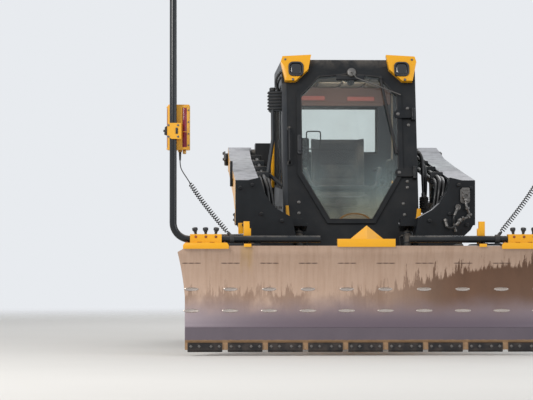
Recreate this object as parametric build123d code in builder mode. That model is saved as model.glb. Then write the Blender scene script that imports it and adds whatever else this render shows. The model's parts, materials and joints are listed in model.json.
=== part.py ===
from build123d import *
import math
import os

# Compact track loader with a laser-levelled dozer blade, in millimetres.
# +Z is up, the machine faces -Y and stands on Z = 0, X = 0 is its mid-plane and +X its left side.
os.makedirs("parts", exist_ok=True)

# Fits
RUN = 0.5            # radial play round a turning pin and side play of an eye
SEAT = 0.3           # gap between pieces of different bodies that rest on each other
LEFT_RIGHT = ((1, "left"), (-1, "right"))

# Tracks
TRACK_OUTER_X = 1000
TRACK_WIDTH = 450
BELT = 30
LUG_HEIGHT = 30
LUG_LENGTH = 46
LUG_COUNT = 53
DRIVE_LUG_HEIGHT = 26
IDLER_R = 190
FRONT_IDLER_Y = -320
REAR_IDLER_Y = 1380
SPROCKET_Y = 1190
SPROCKET_Z = 610
SPROCKET_TEETH = 13
ROLLER_R = 92
ROLLER_YS = (40, 285, 530, 775, 1020)
AXLE_Z = IDLER_R + BELT + LUG_HEIGHT
TRACK_MID_X = TRACK_OUTER_X - TRACK_WIDTH / 2
TRACK_INNER_X = TRACK_OUTER_X - TRACK_WIDTH

# Main frame
TUB_HALF = 480
TUB_FRONT_Y = -420
TUB_REAR_Y = 1900
TUB_BOTTOM = 260
TUB_TOP = 700
TUB_WALL = 18
CROSS_TUBE_R = 55
CROSS_TUBE_YS = (180, 930)
BEAM_HALF_WIDTH = 70
BEAM_HALF_HEIGHT = 62
BEAM_Z = AXLE_Z + 60

# Rear of the machine
REAR_Y = 2000
TOWER_Y = (1290, 1700)
TOWER_X = 640
TOWER_TOP = 1610
FENDER_Z = 905
DECK_Z = 1385
HOOD_T = 45
DOOR_FOOT_Z = 585
DOOR_T = 90
PANEL_GAP = 8

# Cab
CAB_HALF = 500
CAB_TOP = 2150
CAB_FOOT = 722
CAB_REAR_Y = 1000
CAB_WALL = 55
ROOF_T = 62
CAB_FRONT_Y = -340
CAB_LEAN = 14
GLASS_T = 6
FRONT_DOOR_T = 14
FRONT_DOOR_HALF = 390
FRONT_DOOR_BORDER = 32

# Boom
BOOM_PIVOT = (1500, 1480)
BOOM_X = (690, 862)
BOOM_PIN_R = 30
LEG_X = (472, 592)
TOOL_PIVOT = (-1040, 270)
TOOL_PIN_R = 25

# Tool and blade
ADAPTER_Y = -1128
PLATE_T = 20
KINGPIN_Y = -1480
TOOL_AXIS_Z = 400
KINGPIN_R = 32
BLADE_LIP_Y = -2000
BLADE_TOP = 745
BLADE_FOOT = 107
BLADE_HALF = 1275
BLADE_T = 14
BLADE_DEEP = (-1902, 430)
EDGE_TOP = (-1958, 190)
TRUNNION_R = 45

# Masts
MAST_R = 24.15
MAST_X = 1305
MAST_Y = -1930
MAST_Z = 790
MAST_TOP = 2650
MAST_BEND = 112
MAST_FOOT_X = 304


def block(x, y, z, mode=Mode.ADD):
    """Add a box that fills the given (low, high) spans."""
    with Locations(((x[0] + x[1]) / 2, (y[0] + y[1]) / 2, (z[0] + z[1]) / 2)):
        Box(x[1] - x[0], y[1] - y[0], z[1] - z[0], mode=mode)


def bar(start, end, radius, mode=Mode.ADD):
    """Add a round bar between two points."""
    way = Vector(*end) - Vector(*start)
    with BuildSketch(Plane(origin=start, z_dir=way)) as disc:
        Circle(radius)
    extrude(disc.sketch, amount=way.length, mode=mode)


def side_plate(points, x, mode=Mode.ADD):
    """Add a plate with the given (y, z) outline that fills the X span."""
    with BuildSketch(Plane.YZ.offset(x[0])) as outline:
        Polygon(*points)
    extrude(outline.sketch, amount=x[1] - x[0], mode=mode)


def side_link(circles, x):
    """Add a plate round the hull of circles given as (y, z, radius) that fills the X span."""
    hull_plate(Plane.YZ, x[0], x[1], circles)


def hull_plate(plane, low, high, circles):
    """Add a plate round the hull of circles given in a plane's own terms, between two offsets from it."""
    with BuildSketch(plane.offset(low)) as outline:
        for x, y, radius in circles:
            with Locations((x, y)):
                Circle(radius)
        make_hull()
    extrude(outline.sketch, amount=high - low)


def mirrored(part):
    """The mirror image of a left-hand piece."""
    with BuildPart() as other:
        mirror(part, about=Plane.YZ)
    return other.part


def save_pair(left, node):
    """Write a left-hand piece and its mirror image as two nodes."""
    left.label = node + "_left"
    export_step(left, f"parts/{node}_left.step")
    right = mirrored(left)
    right.label = node + "_right"
    export_step(right, f"parts/{node}_right.step")


# Track loops, with the belt and its lugs in one outline
LOOP = ((FRONT_IDLER_Y, AXLE_Z), (REAR_IDLER_Y, AXLE_Z), (SPROCKET_Y, SPROCKET_Z))


def loop_stations(radius, phase):
    """Evenly spaced (y, z, heading) round the loop at a radius, spaced along the belt's inner face."""
    runs = []
    for i, start in enumerate(LOOP):
        end = LOOP[(i + 1) % 3]
        after = LOOP[(i + 2) % 3]
        heading = math.atan2(end[1] - start[1], end[0] - start[0])
        turn = (math.atan2(after[1] - end[1], after[0] - end[0]) - heading) % math.tau
        runs.append((start, end, math.dist(start, end), heading, turn))
    length = sum(run[2] for run in runs) + math.tau * IDLER_R
    for i in range(LUG_COUNT):
        s = (i + phase) * length / LUG_COUNT
        for start, end, straight, heading, turn in runs:
            if s < straight:
                y = start[0] + s * math.cos(heading) + radius * math.sin(heading)
                z = start[1] + s * math.sin(heading) - radius * math.cos(heading)
                yield y, z, heading
                break
            s -= straight
            if s < turn * IDLER_R:
                angle = heading + s / IDLER_R
                yield end[0] + radius * math.sin(angle), end[1] - radius * math.cos(angle), angle
                break
            s -= turn * IDLER_R


# Tread lugs in two rows, half a pitch apart, and drive lugs along the middle of the inside
LUG_ROWS = ((TRACK_INNER_X, 0.25), (TRACK_MID_X, 0.75))
DRIVE_LUG_HALF_X = 30
DRIVE_LUG_PHASE = 0.5
DRIVE_LUG_MID = IDLER_R - DRIVE_LUG_HEIGHT / 2
with BuildPart() as track:
    with BuildSketch(Plane.YZ.offset(TRACK_INNER_X)) as belt:
        Polygon(*LOOP)
        offset(amount=IDLER_R + BELT)
    extrude(amount=TRACK_WIDTH)
    for row_x, phase in LUG_ROWS:
        with BuildSketch(Plane.YZ.offset(row_x)) as lugs:
            for y, z, heading in loop_stations(IDLER_R + BELT + LUG_HEIGHT / 2 - 1, phase):
                with Locations(Location((y, z), math.degrees(heading))):
                    Trapezoid(LUG_LENGTH, LUG_HEIGHT + 2, 96, rotation=180)
        extrude(amount=TRACK_WIDTH / 2)
    with BuildSketch(Plane.YZ.offset(TRACK_INNER_X)) as inside:
        Polygon(*LOOP)
        offset(amount=IDLER_R)
    extrude(amount=TRACK_WIDTH, mode=Mode.SUBTRACT)
    with BuildSketch(Plane.YZ.offset(TRACK_MID_X - DRIVE_LUG_HALF_X)) as drive_lugs:
        for y, z, heading in loop_stations(DRIVE_LUG_MID, DRIVE_LUG_PHASE):
            with Locations(Location((y, z), math.degrees(heading))):
                Trapezoid(36, DRIVE_LUG_HEIGHT + 2, 76)
    extrude(amount=2 * DRIVE_LUG_HALF_X)
    below = AXLE_Z - IDLER_R - BELT - LUG_HEIGHT
    block((TRACK_INNER_X - 1, TRACK_OUTER_X + 1), (FRONT_IDLER_Y - 100, REAR_IDLER_Y + 100), (below - 9, below),
          mode=Mode.SUBTRACT)
save_pair(track.part, "track")

# Track frames: a beam on two cross tubes, forked round the idlers' hubs
IDLER_HUB_R = 52
ROLLER_HUB_R = 40
ROLLER_Z = BELT + LUG_HEIGHT + ROLLER_R + SEAT
NOSE = 258           # an idler's fork, from its axle back to the straight beam
with BuildPart() as track_frame:
    beam_x = (TRACK_MID_X - BEAM_HALF_WIDTH, TRACK_MID_X + BEAM_HALF_WIDTH)
    block(beam_x, (FRONT_IDLER_Y + NOSE, REAR_IDLER_Y - NOSE),
          (BEAM_Z - BEAM_HALF_HEIGHT, BEAM_Z + BEAM_HALF_HEIGHT))
    for y, step in ((FRONT_IDLER_Y, NOSE), (REAR_IDLER_Y, -NOSE)):
        side_link(((y, AXLE_Z, 72), (y + step, BEAM_Z, BEAM_HALF_HEIGHT)), beam_x)
    for y in ROLLER_YS:
        side_link(((y, ROLLER_Z, ROLLER_HUB_R + 16), (y, BEAM_Z, ROLLER_HUB_R + 10)), beam_x)
        bar((beam_x[0] - 1, y, ROLLER_Z), (beam_x[1] + 1, y, ROLLER_Z), ROLLER_HUB_R + RUN, mode=Mode.SUBTRACT)
    for y in CROSS_TUBE_YS:
        bar((TUB_HALF, y, BEAM_Z), (TRACK_MID_X, y, BEAM_Z), CROSS_TUBE_R)
    for y in (FRONT_IDLER_Y, REAR_IDLER_Y):
        hole = IDLER_HUB_R + RUN
        bar((TUB_HALF, y, AXLE_Z), (TRACK_OUTER_X, y, AXLE_Z), hole, mode=Mode.SUBTRACT)
    mirror(about=Plane.YZ)
track_frame.part.label = "track_frames"
export_step(track_frame.part, "parts/track_frames.step")

# Idlers, rollers and the toothed sprocket that runs inside the loop
WHEEL_X = (TRACK_MID_X - 150, TRACK_MID_X + 150)
with BuildPart() as track_wheels:
    wheels = [(y, AXLE_Z, IDLER_R - SEAT, IDLER_HUB_R) for y in (FRONT_IDLER_Y, REAR_IDLER_Y)]
    wheels += [(y, ROLLER_Z, ROLLER_R, ROLLER_HUB_R) for y in ROLLER_YS]
    for y, z, rim_r, hub_r in wheels:
        for side in (-1, 1):
            inner = TRACK_MID_X + side * (BEAM_HALF_WIDTH + 8)
            outer = TRACK_MID_X + side * 150
            bar((inner, y, z), (outer, y, z), rim_r)
        bar((WHEEL_X[0], y, z), (WHEEL_X[1], y, z), hub_r)
    for y in (FRONT_IDLER_Y, REAR_IDLER_Y):
        with BuildSketch(Plane.YZ.offset(WHEEL_X[1])) as dish:
            with Locations((y, AXLE_Z)):
                Circle(IDLER_R - 34)
                Circle(IDLER_HUB_R + 22, mode=Mode.SUBTRACT)
        extrude(amount=-24, mode=Mode.SUBTRACT)
    mirror(about=Plane.YZ)
track_wheels.part.label = "track_wheels"
export_step(track_wheels.part, "parts/track_wheels.step")

# The teeth stand midway between the drive lugs that lie on the sprocket
SPROCKET_X = (TRACK_MID_X - 60, TRACK_MID_X + 60)
TOOTH_CIRCLE_R = IDLER_R - 24
lug_y, lug_z, lug_heading = max(loop_stations(DRIVE_LUG_MID, DRIVE_LUG_PHASE), key=lambda station: station[1])
TOOTH_START = math.degrees(lug_heading) - 90 + 180 / SPROCKET_TEETH
with BuildPart() as sprocket:
    with BuildSketch(Plane.YZ.offset(SPROCKET_X[0])) as teeth:
        with Locations((SPROCKET_Y, SPROCKET_Z)):
            Circle(TOOTH_CIRCLE_R - 8)
            with PolarLocations(TOOTH_CIRCLE_R, SPROCKET_TEETH, start_angle=TOOTH_START):
                Circle(IDLER_R - TOOTH_CIRCLE_R - 0.5)
    extrude(amount=SPROCKET_X[1] - SPROCKET_X[0])
    drive = (SPROCKET_Y, SPROCKET_Z)
    bar((TUB_HALF, *drive), (SPROCKET_X[0], *drive), 95)
    bar((SPROCKET_X[1], *drive), (SPROCKET_X[1] + 50, *drive), 95)
    mirror(about=Plane.YZ)
sprocket.part.label = "drive_sprockets"
export_step(sprocket.part, "parts/drive_sprockets.step")

# Tub: the welded main frame, open at its top
with BuildPart() as main_frame:
    side_plate(
        ((TUB_FRONT_Y, TUB_TOP), (TUB_FRONT_Y, TUB_BOTTOM + 170), (TUB_FRONT_Y + 130, TUB_BOTTOM),
         (TUB_REAR_Y - 110, TUB_BOTTOM), (TUB_REAR_Y, TUB_BOTTOM + 110), (TUB_REAR_Y, TUB_TOP)),
        (-TUB_HALF, TUB_HALF),
    )
    offset(amount=-TUB_WALL, openings=main_frame.faces().sort_by(Axis.Z)[-1])
    block((-TUB_HALF + TUB_WALL, TUB_HALF - TUB_WALL), (CAB_REAR_Y - TUB_WALL, CAB_REAR_Y),
          (TUB_BOTTOM + TUB_WALL, TUB_TOP))
main_frame.part.label = "main_frame"
export_step(main_frame.part, "parts/main_frame.step")

# Bumper across the tail, with a tie-down tongue in a pocket at each side
TIE_DOWN_R = 25
TIE_DOWN_X = 380
TIE_DOWN_T = 24
POCKET_HALF = 62
POCKET_DEEP = 70
BUMPER_Z = (TUB_BOTTOM + 110, DOOR_FOOT_Z - PANEL_GAP)
TIE_DOWN_Z = (BUMPER_Z[0] + BUMPER_Z[1]) / 2
with BuildPart() as bumper:
    with BuildSketch(Plane.XY.offset(BUMPER_Z[0])) as plan:
        Polygon((-TUB_HALF, TUB_REAR_Y), (TUB_HALF, TUB_REAR_Y), (TUB_HALF, REAR_Y - 45),
                (TUB_HALF - 30, REAR_Y), (30 - TUB_HALF, REAR_Y), (-TUB_HALF, REAR_Y - 45))
    extrude(amount=BUMPER_Z[1] - BUMPER_Z[0])
    for side, hand in LEFT_RIGHT:
        x = side * TIE_DOWN_X
        block((x - POCKET_HALF, x + POCKET_HALF), (REAR_Y - POCKET_DEEP, REAR_Y + 1),
              (BUMPER_Z[0] - 1, BUMPER_Z[1] - 35), mode=Mode.SUBTRACT)
        tongue_z = (TIE_DOWN_Z - TIE_DOWN_T / 2, TIE_DOWN_Z + TIE_DOWN_T / 2)
        block((x - 48, x + 48), (REAR_Y - POCKET_DEEP - 1, REAR_Y), tongue_z)
        bar((x, REAR_Y - 34, tongue_z[0] - 1), (x, REAR_Y - 34, tongue_z[1] + 1), TIE_DOWN_R,
            mode=Mode.SUBTRACT)
bumper.part.label = "rear_bumper"
export_step(bumper.part, "parts/rear_bumper.step")

# Engine as one block on the tub's floor
with BuildPart() as engine:
    block((-270, 270), (1090, 1780), (TUB_BOTTOM + TUB_WALL, 1260))
engine.part.label = "engine_block"
export_step(engine.part, "parts/engine_block.step")

# Towers: each carries a boom arm's pivot and a lift cylinder's foot
LIFT_BASE = (1420, 980)
LIFT_ROD = (380, 1148)
LIFT_X = 755
LIFT_EYE_HALF = 30
PIN_CAP = 14
with BuildPart() as tower:
    side_plate(((TOWER_Y[0], 300), (TOWER_Y[1], 300), (TOWER_Y[1], FENDER_Z), (TOWER_Y[0], FENDER_Z)),
               (TUB_HALF, TUB_HALF + 40))
    with BuildSketch(Plane.YZ.offset(TUB_HALF)) as upright:
        Polygon((TOWER_Y[0], FENDER_Z), (TOWER_Y[1], FENDER_Z), (TOWER_Y[1], 1180), (1620, TOWER_TOP),
                (1390, TOWER_TOP), (1330, 1180))
    extrude(amount=TOWER_X - TUB_HALF)
    pivot = BOOM_PIVOT
    bar((TOWER_X - 10, *pivot), (BOOM_X[0] - 18, *pivot), 85)
    bar((TOWER_X - 10, *pivot), (BOOM_X[1] + 20, *pivot), BOOM_PIN_R)
    bar((BOOM_X[1] + SEAT, *pivot), (BOOM_X[1] + 20, *pivot), 52)
    foot = LIFT_BASE
    bar((TOWER_X - 10, *foot), (LIFT_X - LIFT_EYE_HALF - RUN, *foot), 60)
    bar((TOWER_X - 10, *foot), (LIFT_X + LIFT_EYE_HALF + PIN_CAP, *foot), 28)
    bar((LIFT_X + LIFT_EYE_HALF + RUN, *foot), (LIFT_X + LIFT_EYE_HALF + PIN_CAP, *foot), 45)
    mirror(about=Plane.YZ)
tower.part.label = "boom_towers"
export_step(tower.part, "parts/boom_towers.step")

# Side covers of the engine bay, with louvres
with BuildPart() as engine_cover:
    block((TUB_HALF - 20, TUB_HALF), (CAB_REAR_Y, TUB_REAR_Y - 4), (TUB_TOP, DECK_Z))
    with BuildSketch(Plane.YZ.offset(TUB_HALF)) as louvres:
        with Locations((1150, 1180)):
            with GridLocations(1, 42, 1, 6):
                SlotOverall(190, 22)
    extrude(amount=-20, mode=Mode.SUBTRACT)
    mirror(about=Plane.YZ)
    block((-TUB_HALF, TUB_HALF), (TUB_REAR_Y - 4, TUB_REAR_Y), (TUB_TOP, DECK_Z))
    block((40 - TUB_HALF, TUB_HALF - 40), (TUB_REAR_Y - 5, TUB_REAR_Y + 1), (TUB_TOP - 1, DECK_Z - 40),
          mode=Mode.SUBTRACT)
engine_cover.part.label = "engine_covers"
export_step(engine_cover.part, "parts/engine_covers.step")

# Hood, hinged at its front edge behind the cab
HOOD_HINGE = (CAB_REAR_Y + 26, DECK_Z + 24)
with BuildPart() as hood:
    side_plate(
        ((CAB_REAR_Y + 50, DECK_Z + SEAT), (TUB_REAR_Y - PANEL_GAP, DECK_Z + SEAT),
         (TUB_REAR_Y - PANEL_GAP, DECK_Z + 25), (TUB_REAR_Y - 80, DECK_Z + HOOD_T),
         (CAB_REAR_Y + 50, DECK_Z + HOOD_T)),
        (PANEL_GAP - TUB_HALF, TUB_HALF - PANEL_GAP),
    )
    block((-TUB_HALF + 24, TUB_HALF - 24), (CAB_REAR_Y + 60, TUB_REAR_Y - 30),
          (DECK_Z, DECK_Z + HOOD_T - 14), mode=Mode.SUBTRACT)
    with BuildSketch(Plane.XY.offset(DECK_Z)) as vents:
        with Locations((0, 1500)):
            with GridLocations(1, 50, 1, 9):
                SlotOverall(560, 24)
    extrude(amount=HOOD_T + 10, mode=Mode.SUBTRACT)
    for side, hand in LEFT_RIGHT:
        knuckle = (side * 300 - 30, side * 300 + 30)
        block(knuckle, (HOOD_HINGE[0], CAB_REAR_Y + 62), (DECK_Z + 13, DECK_Z + 35))
        bar((knuckle[0], *HOOD_HINGE), (knuckle[1], *HOOD_HINGE), 14)
        bar((knuckle[0] - 1, *HOOD_HINGE), (knuckle[1] + 1, *HOOD_HINGE), 8 + RUN, mode=Mode.SUBTRACT)
hood.part.label = "hood"
export_step(hood.part, "parts/hood.step")

# Rear door, hinged at its left edge
REAR_HINGE = (TUB_HALF - 16, TUB_REAR_Y + 26)
REAR_HINGE_ZS = (760, 1180)
DOOR_TOP_Z = DECK_Z + HOOD_T - 30
with BuildPart() as rear_door:
    with BuildSketch(Plane.XY.offset(DOOR_FOOT_Z)) as plan:
        Polygon((PANEL_GAP - TUB_HALF, TUB_REAR_Y + PANEL_GAP), (REAR_HINGE[0] - 30, TUB_REAR_Y + PANEL_GAP),
                (REAR_HINGE[0] - 30, REAR_Y - 25), (REAR_HINGE[0] - 80, REAR_Y),
                (60 - TUB_HALF, REAR_Y), (PANEL_GAP - TUB_HALF, REAR_Y - 25))
    extrude(amount=DOOR_TOP_Z - DOOR_FOOT_Z)
    chamfer(rear_door.edges().filter_by(Axis.X).group_by(Axis.Z)[-1].sort_by(Axis.Y)[-1], 40)
    with BuildSketch(Plane.XZ.offset(-REAR_Y)) as grille:
        with Locations((-10, 1000)):
            with GridLocations(1, 46, 1, 9):
                SlotOverall(560, 22)
    extrude(amount=DOOR_T + 10, mode=Mode.SUBTRACT)
    for z in REAR_HINGE_ZS:
        block((REAR_HINGE[0] - 40, REAR_HINGE[0]), (REAR_HINGE[1] - 10, REAR_HINGE[1] + 10), (z - 30, z + 30))
        bar((*REAR_HINGE, z - 30), (*REAR_HINGE, z + 30), 15)
        bar((*REAR_HINGE, z - 31), (*REAR_HINGE, z + 31), 8 + RUN, mode=Mode.SUBTRACT)
rear_door.part.label = "rear_door"
export_step(rear_door.part, "parts/rear_door.step")

# Cab shell: its leaning front carries the local outline of the door
LEAN = math.radians(CAB_LEAN)
CAB_FRONT = Plane(origin=(0, CAB_FRONT_Y, CAB_TOP), x_dir=(1, 0, 0),
                  z_dir=(0, -math.cos(LEAN), math.sin(LEAN)))


def front_y(z, depth=0):
    """Y on the cab's leaning front at a height, or on a plane some depth behind it."""
    return CAB_FRONT_Y + (z - CAB_TOP) * math.tan(LEAN) + depth / math.cos(LEAN)


def up_front(z):
    """Distance along the leaning front of a point at height z, measured from the cab's top."""
    return (z - CAB_TOP) / math.cos(LEAN)


DOOR_OUTLINE = (   # (x, z) from the foot up the left side, over the top and down
    (175, 915), (FRONT_DOOR_HALF, 1280), (FRONT_DOOR_HALF, 1885), (235, 2045), (0, 2068),
    (-235, 2045), (-FRONT_DOOR_HALF, 1885), (-FRONT_DOOR_HALF, 1280), (-175, 915),
)


def door_outline(plane, grow):
    """The front door's outline on a plane, grown or shrunk by an offset."""
    with BuildSketch(plane) as outline:
        Polygon(*[(x, up_front(z)) for x, z in DOOR_OUTLINE])
        if grow:
            offset(amount=grow, kind=Kind.INTERSECTION)
    return outline.sketch


door_hole = door_outline(CAB_FRONT, -FRONT_DOOR_BORDER)
with BuildPart() as cab_front_panel:
    with BuildSketch(CAB_FRONT) as sheet:
        Polygon((-CAB_HALF, up_front(CAB_FOOT)), (CAB_HALF, up_front(CAB_FOOT)), (CAB_HALF, 0),
                (-CAB_HALF, 0))
    extrude(amount=-CAB_WALL)
    extrude(door_hole, amount=-CAB_WALL - 10, mode=Mode.SUBTRACT)
cab_front_panel.part.label = "cab_front"
export_step(cab_front_panel.part, "parts/cab_front.step")

ROOF_Z = CAB_TOP - ROOF_T
SIDE_WINDOW = ((front_y(1180, 150), 1180), (880, 1240), (880, 1960), (front_y(1960, 150), 1960))
# Guard rail outside the right-hand front post: where it goes, as x and z, and its depth behind the front
RAIL_X = CAB_HALF + 66
RAIL_R = 14
RAIL_DEPTH = 100
RAIL_RUN = ((-RAIL_X, 1780), (-RAIL_X, 1550), (-RAIL_X - 40, 1290), (2 - CAB_HALF, 1200))
RAIL_BRACKET_Z = (1763, 1913)
with BuildPart() as cab_side:
    side_plate(((front_y(CAB_FOOT, CAB_WALL), CAB_FOOT), (CAB_REAR_Y, CAB_FOOT), (CAB_REAR_Y, ROOF_Z),
                (front_y(ROOF_Z, CAB_WALL), ROOF_Z)), (CAB_HALF - CAB_WALL, CAB_HALF))
    side_plate(SIDE_WINDOW, (CAB_HALF - CAB_WALL - 1, CAB_HALF + 1), mode=Mode.SUBTRACT)
    mirror(about=Plane.YZ)
    bracket_y = front_y(sum(RAIL_BRACKET_Z) / 2, RAIL_DEPTH)
    block((-RAIL_X - 30, 1 - CAB_HALF), (bracket_y - 22, bracket_y + 22), RAIL_BRACKET_Z)
    run = [(x, front_y(z, RAIL_DEPTH), z) for x, z in RAIL_RUN]
    for start, end in zip(run, run[1:]):
        bar(start, end, RAIL_R)
    with Locations(*run[1:3]):
        Sphere(RAIL_R)
cab_side.part.label = "cab_sides"
export_step(cab_side.part, "parts/cab_sides.step")

REAR_WALL_X = (CAB_WALL - CAB_HALF, CAB_HALF - CAB_WALL)
REAR_WINDOW_HALF = 330
REAR_WINDOW_Z = (1500, 1880)
with BuildPart() as cab_rear:
    block(REAR_WALL_X, (CAB_REAR_Y - CAB_WALL, CAB_REAR_Y), (CAB_FOOT, ROOF_Z))
    block((-REAR_WINDOW_HALF, REAR_WINDOW_HALF), (CAB_REAR_Y - CAB_WALL - 1, CAB_REAR_Y + 1),
          REAR_WINDOW_Z, mode=Mode.SUBTRACT)
cab_rear.part.label = "cab_rear"
export_step(cab_rear.part, "parts/cab_rear.step")

with BuildPart() as cab_windows:
    side_plate(SIDE_WINDOW, (CAB_HALF - 24, CAB_HALF - 24 + GLASS_T))
    mirror(about=Plane.YZ)
    block((-REAR_WINDOW_HALF, REAR_WINDOW_HALF), (CAB_REAR_Y - 30, CAB_REAR_Y - 30 + GLASS_T),
          REAR_WINDOW_Z)
cab_windows.part.label = "cab_windows"
export_step(cab_windows.part, "parts/cab_windows.step")

with BuildPart() as cab_roof:
    side_plate(((front_y(ROOF_Z, CAB_WALL), ROOF_Z), (CAB_REAR_Y, ROOF_Z), (CAB_REAR_Y, CAB_TOP - 20),
                (CAB_REAR_Y - 40, CAB_TOP), (front_y(CAB_TOP, CAB_WALL), CAB_TOP)),
               (-CAB_HALF, CAB_HALF))
cab_roof.part.label = "cab_roof"
export_step(cab_roof.part, "parts/cab_roof.step")

INSIDE_X = (CAB_WALL - CAB_HALF, CAB_HALF - CAB_WALL)
FLOOR_T = 24
with BuildPart() as cab_floor:
    side_plate(((front_y(CAB_FOOT, CAB_WALL), CAB_FOOT), (CAB_REAR_Y - CAB_WALL, CAB_FOOT),
                (CAB_REAR_Y - CAB_WALL, CAB_FOOT + FLOOR_T),
                (front_y(CAB_FOOT + FLOOR_T, CAB_WALL), CAB_FOOT + FLOOR_T)), INSIDE_X)
    block(INSIDE_X, (TUB_FRONT_Y + TUB_WALL, CAB_REAR_Y - CAB_WALL - 60), (TUB_TOP, CAB_FOOT))
cab_floor.part.label = "cab_floor"
export_step(cab_floor.part, "parts/cab_floor.step")

HEADLINER_T = 45
with BuildPart() as headliner:
    block(INSIDE_X, (front_y(ROOF_Z - HEADLINER_T, CAB_WALL) + 40, CAB_REAR_Y - CAB_WALL),
          (ROOF_Z - HEADLINER_T, ROOF_Z))
headliner.part.label = "headliner"
export_step(headliner.part, "parts/headliner.step")

# Front door: a pane in a black border, on two hinge plates
DOOR_LIFT = 3
door_plane = CAB_FRONT.offset(DOOR_LIFT)
pane_outline = door_outline(door_plane, -FRONT_DOOR_BORDER)
slab_outline = door_outline(door_plane, 0)
HINGE_X = FRONT_DOOR_HALF + 84
HINGE_ZS = (1730, 1290)
HINGE_LIFT = DOOR_LIFT + FRONT_DOOR_T + 12
UP = CAB_FRONT.y_dir
with BuildPart() as door_border:
    extrude(slab_outline, amount=FRONT_DOOR_T)
    extrude(pane_outline, amount=FRONT_DOOR_T, mode=Mode.SUBTRACT)
    for z in HINGE_ZS:
        with BuildSketch(CAB_FRONT.offset(DOOR_LIFT + FRONT_DOOR_T)) as strap:
            with Locations((HINGE_X - 72, up_front(z))):
                SlotOverall(144, 60)
        extrude(amount=10)
        middle = CAB_FRONT.from_local_coords(Vector(HINGE_X, up_front(z), HINGE_LIFT))
        bar(middle - UP * 30, middle + UP * 30, 14)
        bar(middle - UP * 31, middle + UP * 31, 8 + RUN, mode=Mode.SUBTRACT)
door_border.part.label = "front_door_border"
export_step(door_border.part, "parts/front_door_border.step")

with BuildPart() as door_pane:
    extrude(pane_outline, amount=FRONT_DOOR_T - 6)
door_pane.part.label = "front_door_glass"
export_step(door_pane.part, "parts/front_door_glass.step")

# Fixed leaves and pins of the hood's and doors' hinges
with BuildPart() as hinges:
    for side, hand in LEFT_RIGHT:
        x = side * 300
        bar((x - 48, *HOOD_HINGE), (x + 48, *HOOD_HINGE), 8)
        for ear in (-1, 1):
            low, high = sorted((x + ear * (30 + RUN), x + ear * 48))
            side_link(((*HOOD_HINGE, 15), (CAB_REAR_Y + 2, HOOD_HINGE[1], 2)), (low, high))
    for z in REAR_HINGE_ZS:
        bar((*REAR_HINGE, z - 46), (*REAR_HINGE, z + 46), 8)
        for ear in (-1, 1):
            low, high = sorted((z + ear * (30 + RUN), z + ear * 46))
            bar((*REAR_HINGE, low), (*REAR_HINGE, high), 15)
            block((REAR_HINGE[0] - 15, REAR_HINGE[0] + 15), (TUB_REAR_Y, REAR_HINGE[1]), (low, high))
    for z in HINGE_ZS:
        middle = CAB_FRONT.from_local_coords(Vector(HINGE_X, up_front(z), HINGE_LIFT))
        bar(middle - UP * 46, middle + UP * 46, 8)
        for ear in (-1, 1):
            bar(middle + UP * (ear * (30 + RUN)), middle + UP * (ear * 46), 14)
            with BuildSketch(CAB_FRONT) as foot_plate:
                with Locations((HINGE_X, up_front(z) + ear * (38 + RUN / 2))):
                    Rectangle(28, 16 - RUN)
            extrude(amount=HINGE_LIFT)
hinges.part.label = "door_hinges"
export_step(hinges.part, "parts/door_hinges.step")

# Lamp housings on the cab's top corners, with a round-cornered lamp in each
LAMP_X = 395
LAMP_Z = 2062
with BuildPart() as lamp_housing:
    with BuildSketch(CAB_FRONT) as cheek:
        Polygon((FRONT_DOOR_HALF - 110, up_front(2172)), (CAB_HALF - 5, up_front(2160)),
                (CAB_HALF + 8, up_front(2120)), (CAB_HALF - 24, up_front(1975)),
                (FRONT_DOOR_HALF + 8, up_front(1975)), (FRONT_DOOR_HALF - 88, up_front(2062)))
    extrude(amount=52)
    with BuildSketch(CAB_FRONT.offset(52)) as socket:
        with Locations((LAMP_X, up_front(LAMP_Z))):
            RectangleRounded(112, 112, 34)
    extrude(amount=-30, mode=Mode.SUBTRACT)
    mirror(about=Plane.YZ)
lamp_housing.part.label = "lamp_housings"
export_step(lamp_housing.part, "parts/lamp_housings.step")

with BuildPart() as lamps:
    for side, hand in LEFT_RIGHT:
        with BuildSketch(CAB_FRONT.offset(22)) as body:
            with Locations((side * LAMP_X, up_front(LAMP_Z))):
                RectangleRounded(110, 110, 33)
        extrude(amount=34)
lamps.part.label = "work_lamps"
export_step(lamps.part, "parts/work_lamps.step")

# Seat, consoles and display
FLOOR_TOP = CAB_FOOT + FLOOR_T
SEAT_Y = (330, 830)
with BuildPart() as seat_base:
    block((-210, 210), (SEAT_Y[0] + 30, SEAT_Y[1] - 40), (FLOOR_TOP, 1060))
seat_base.part.label = "seat_base"
export_step(seat_base.part, "parts/seat_base.step")

with BuildPart() as seat_cushion:
    block((-240, 240), (SEAT_Y[0] - 20, SEAT_Y[1] - 52), (1060 + SEAT, 1160))
    fillet(seat_cushion.edges(), 30)
seat_cushion.part.label = "seat_cushion"
export_step(seat_cushion.part, "parts/seat_cushion.step")

with BuildPart() as seat_back:
    side_plate(((SEAT_Y[1] - 55, 1065), (SEAT_Y[1] + 50, 1065), (SEAT_Y[1] + 95, 1640),
                (SEAT_Y[1] + 5, 1640)), (-235, 235))
    fillet(seat_back.edges(), 30)
seat_back.part.label = "seat_back"
export_step(seat_back.part, "parts/seat_back.step")

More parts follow.
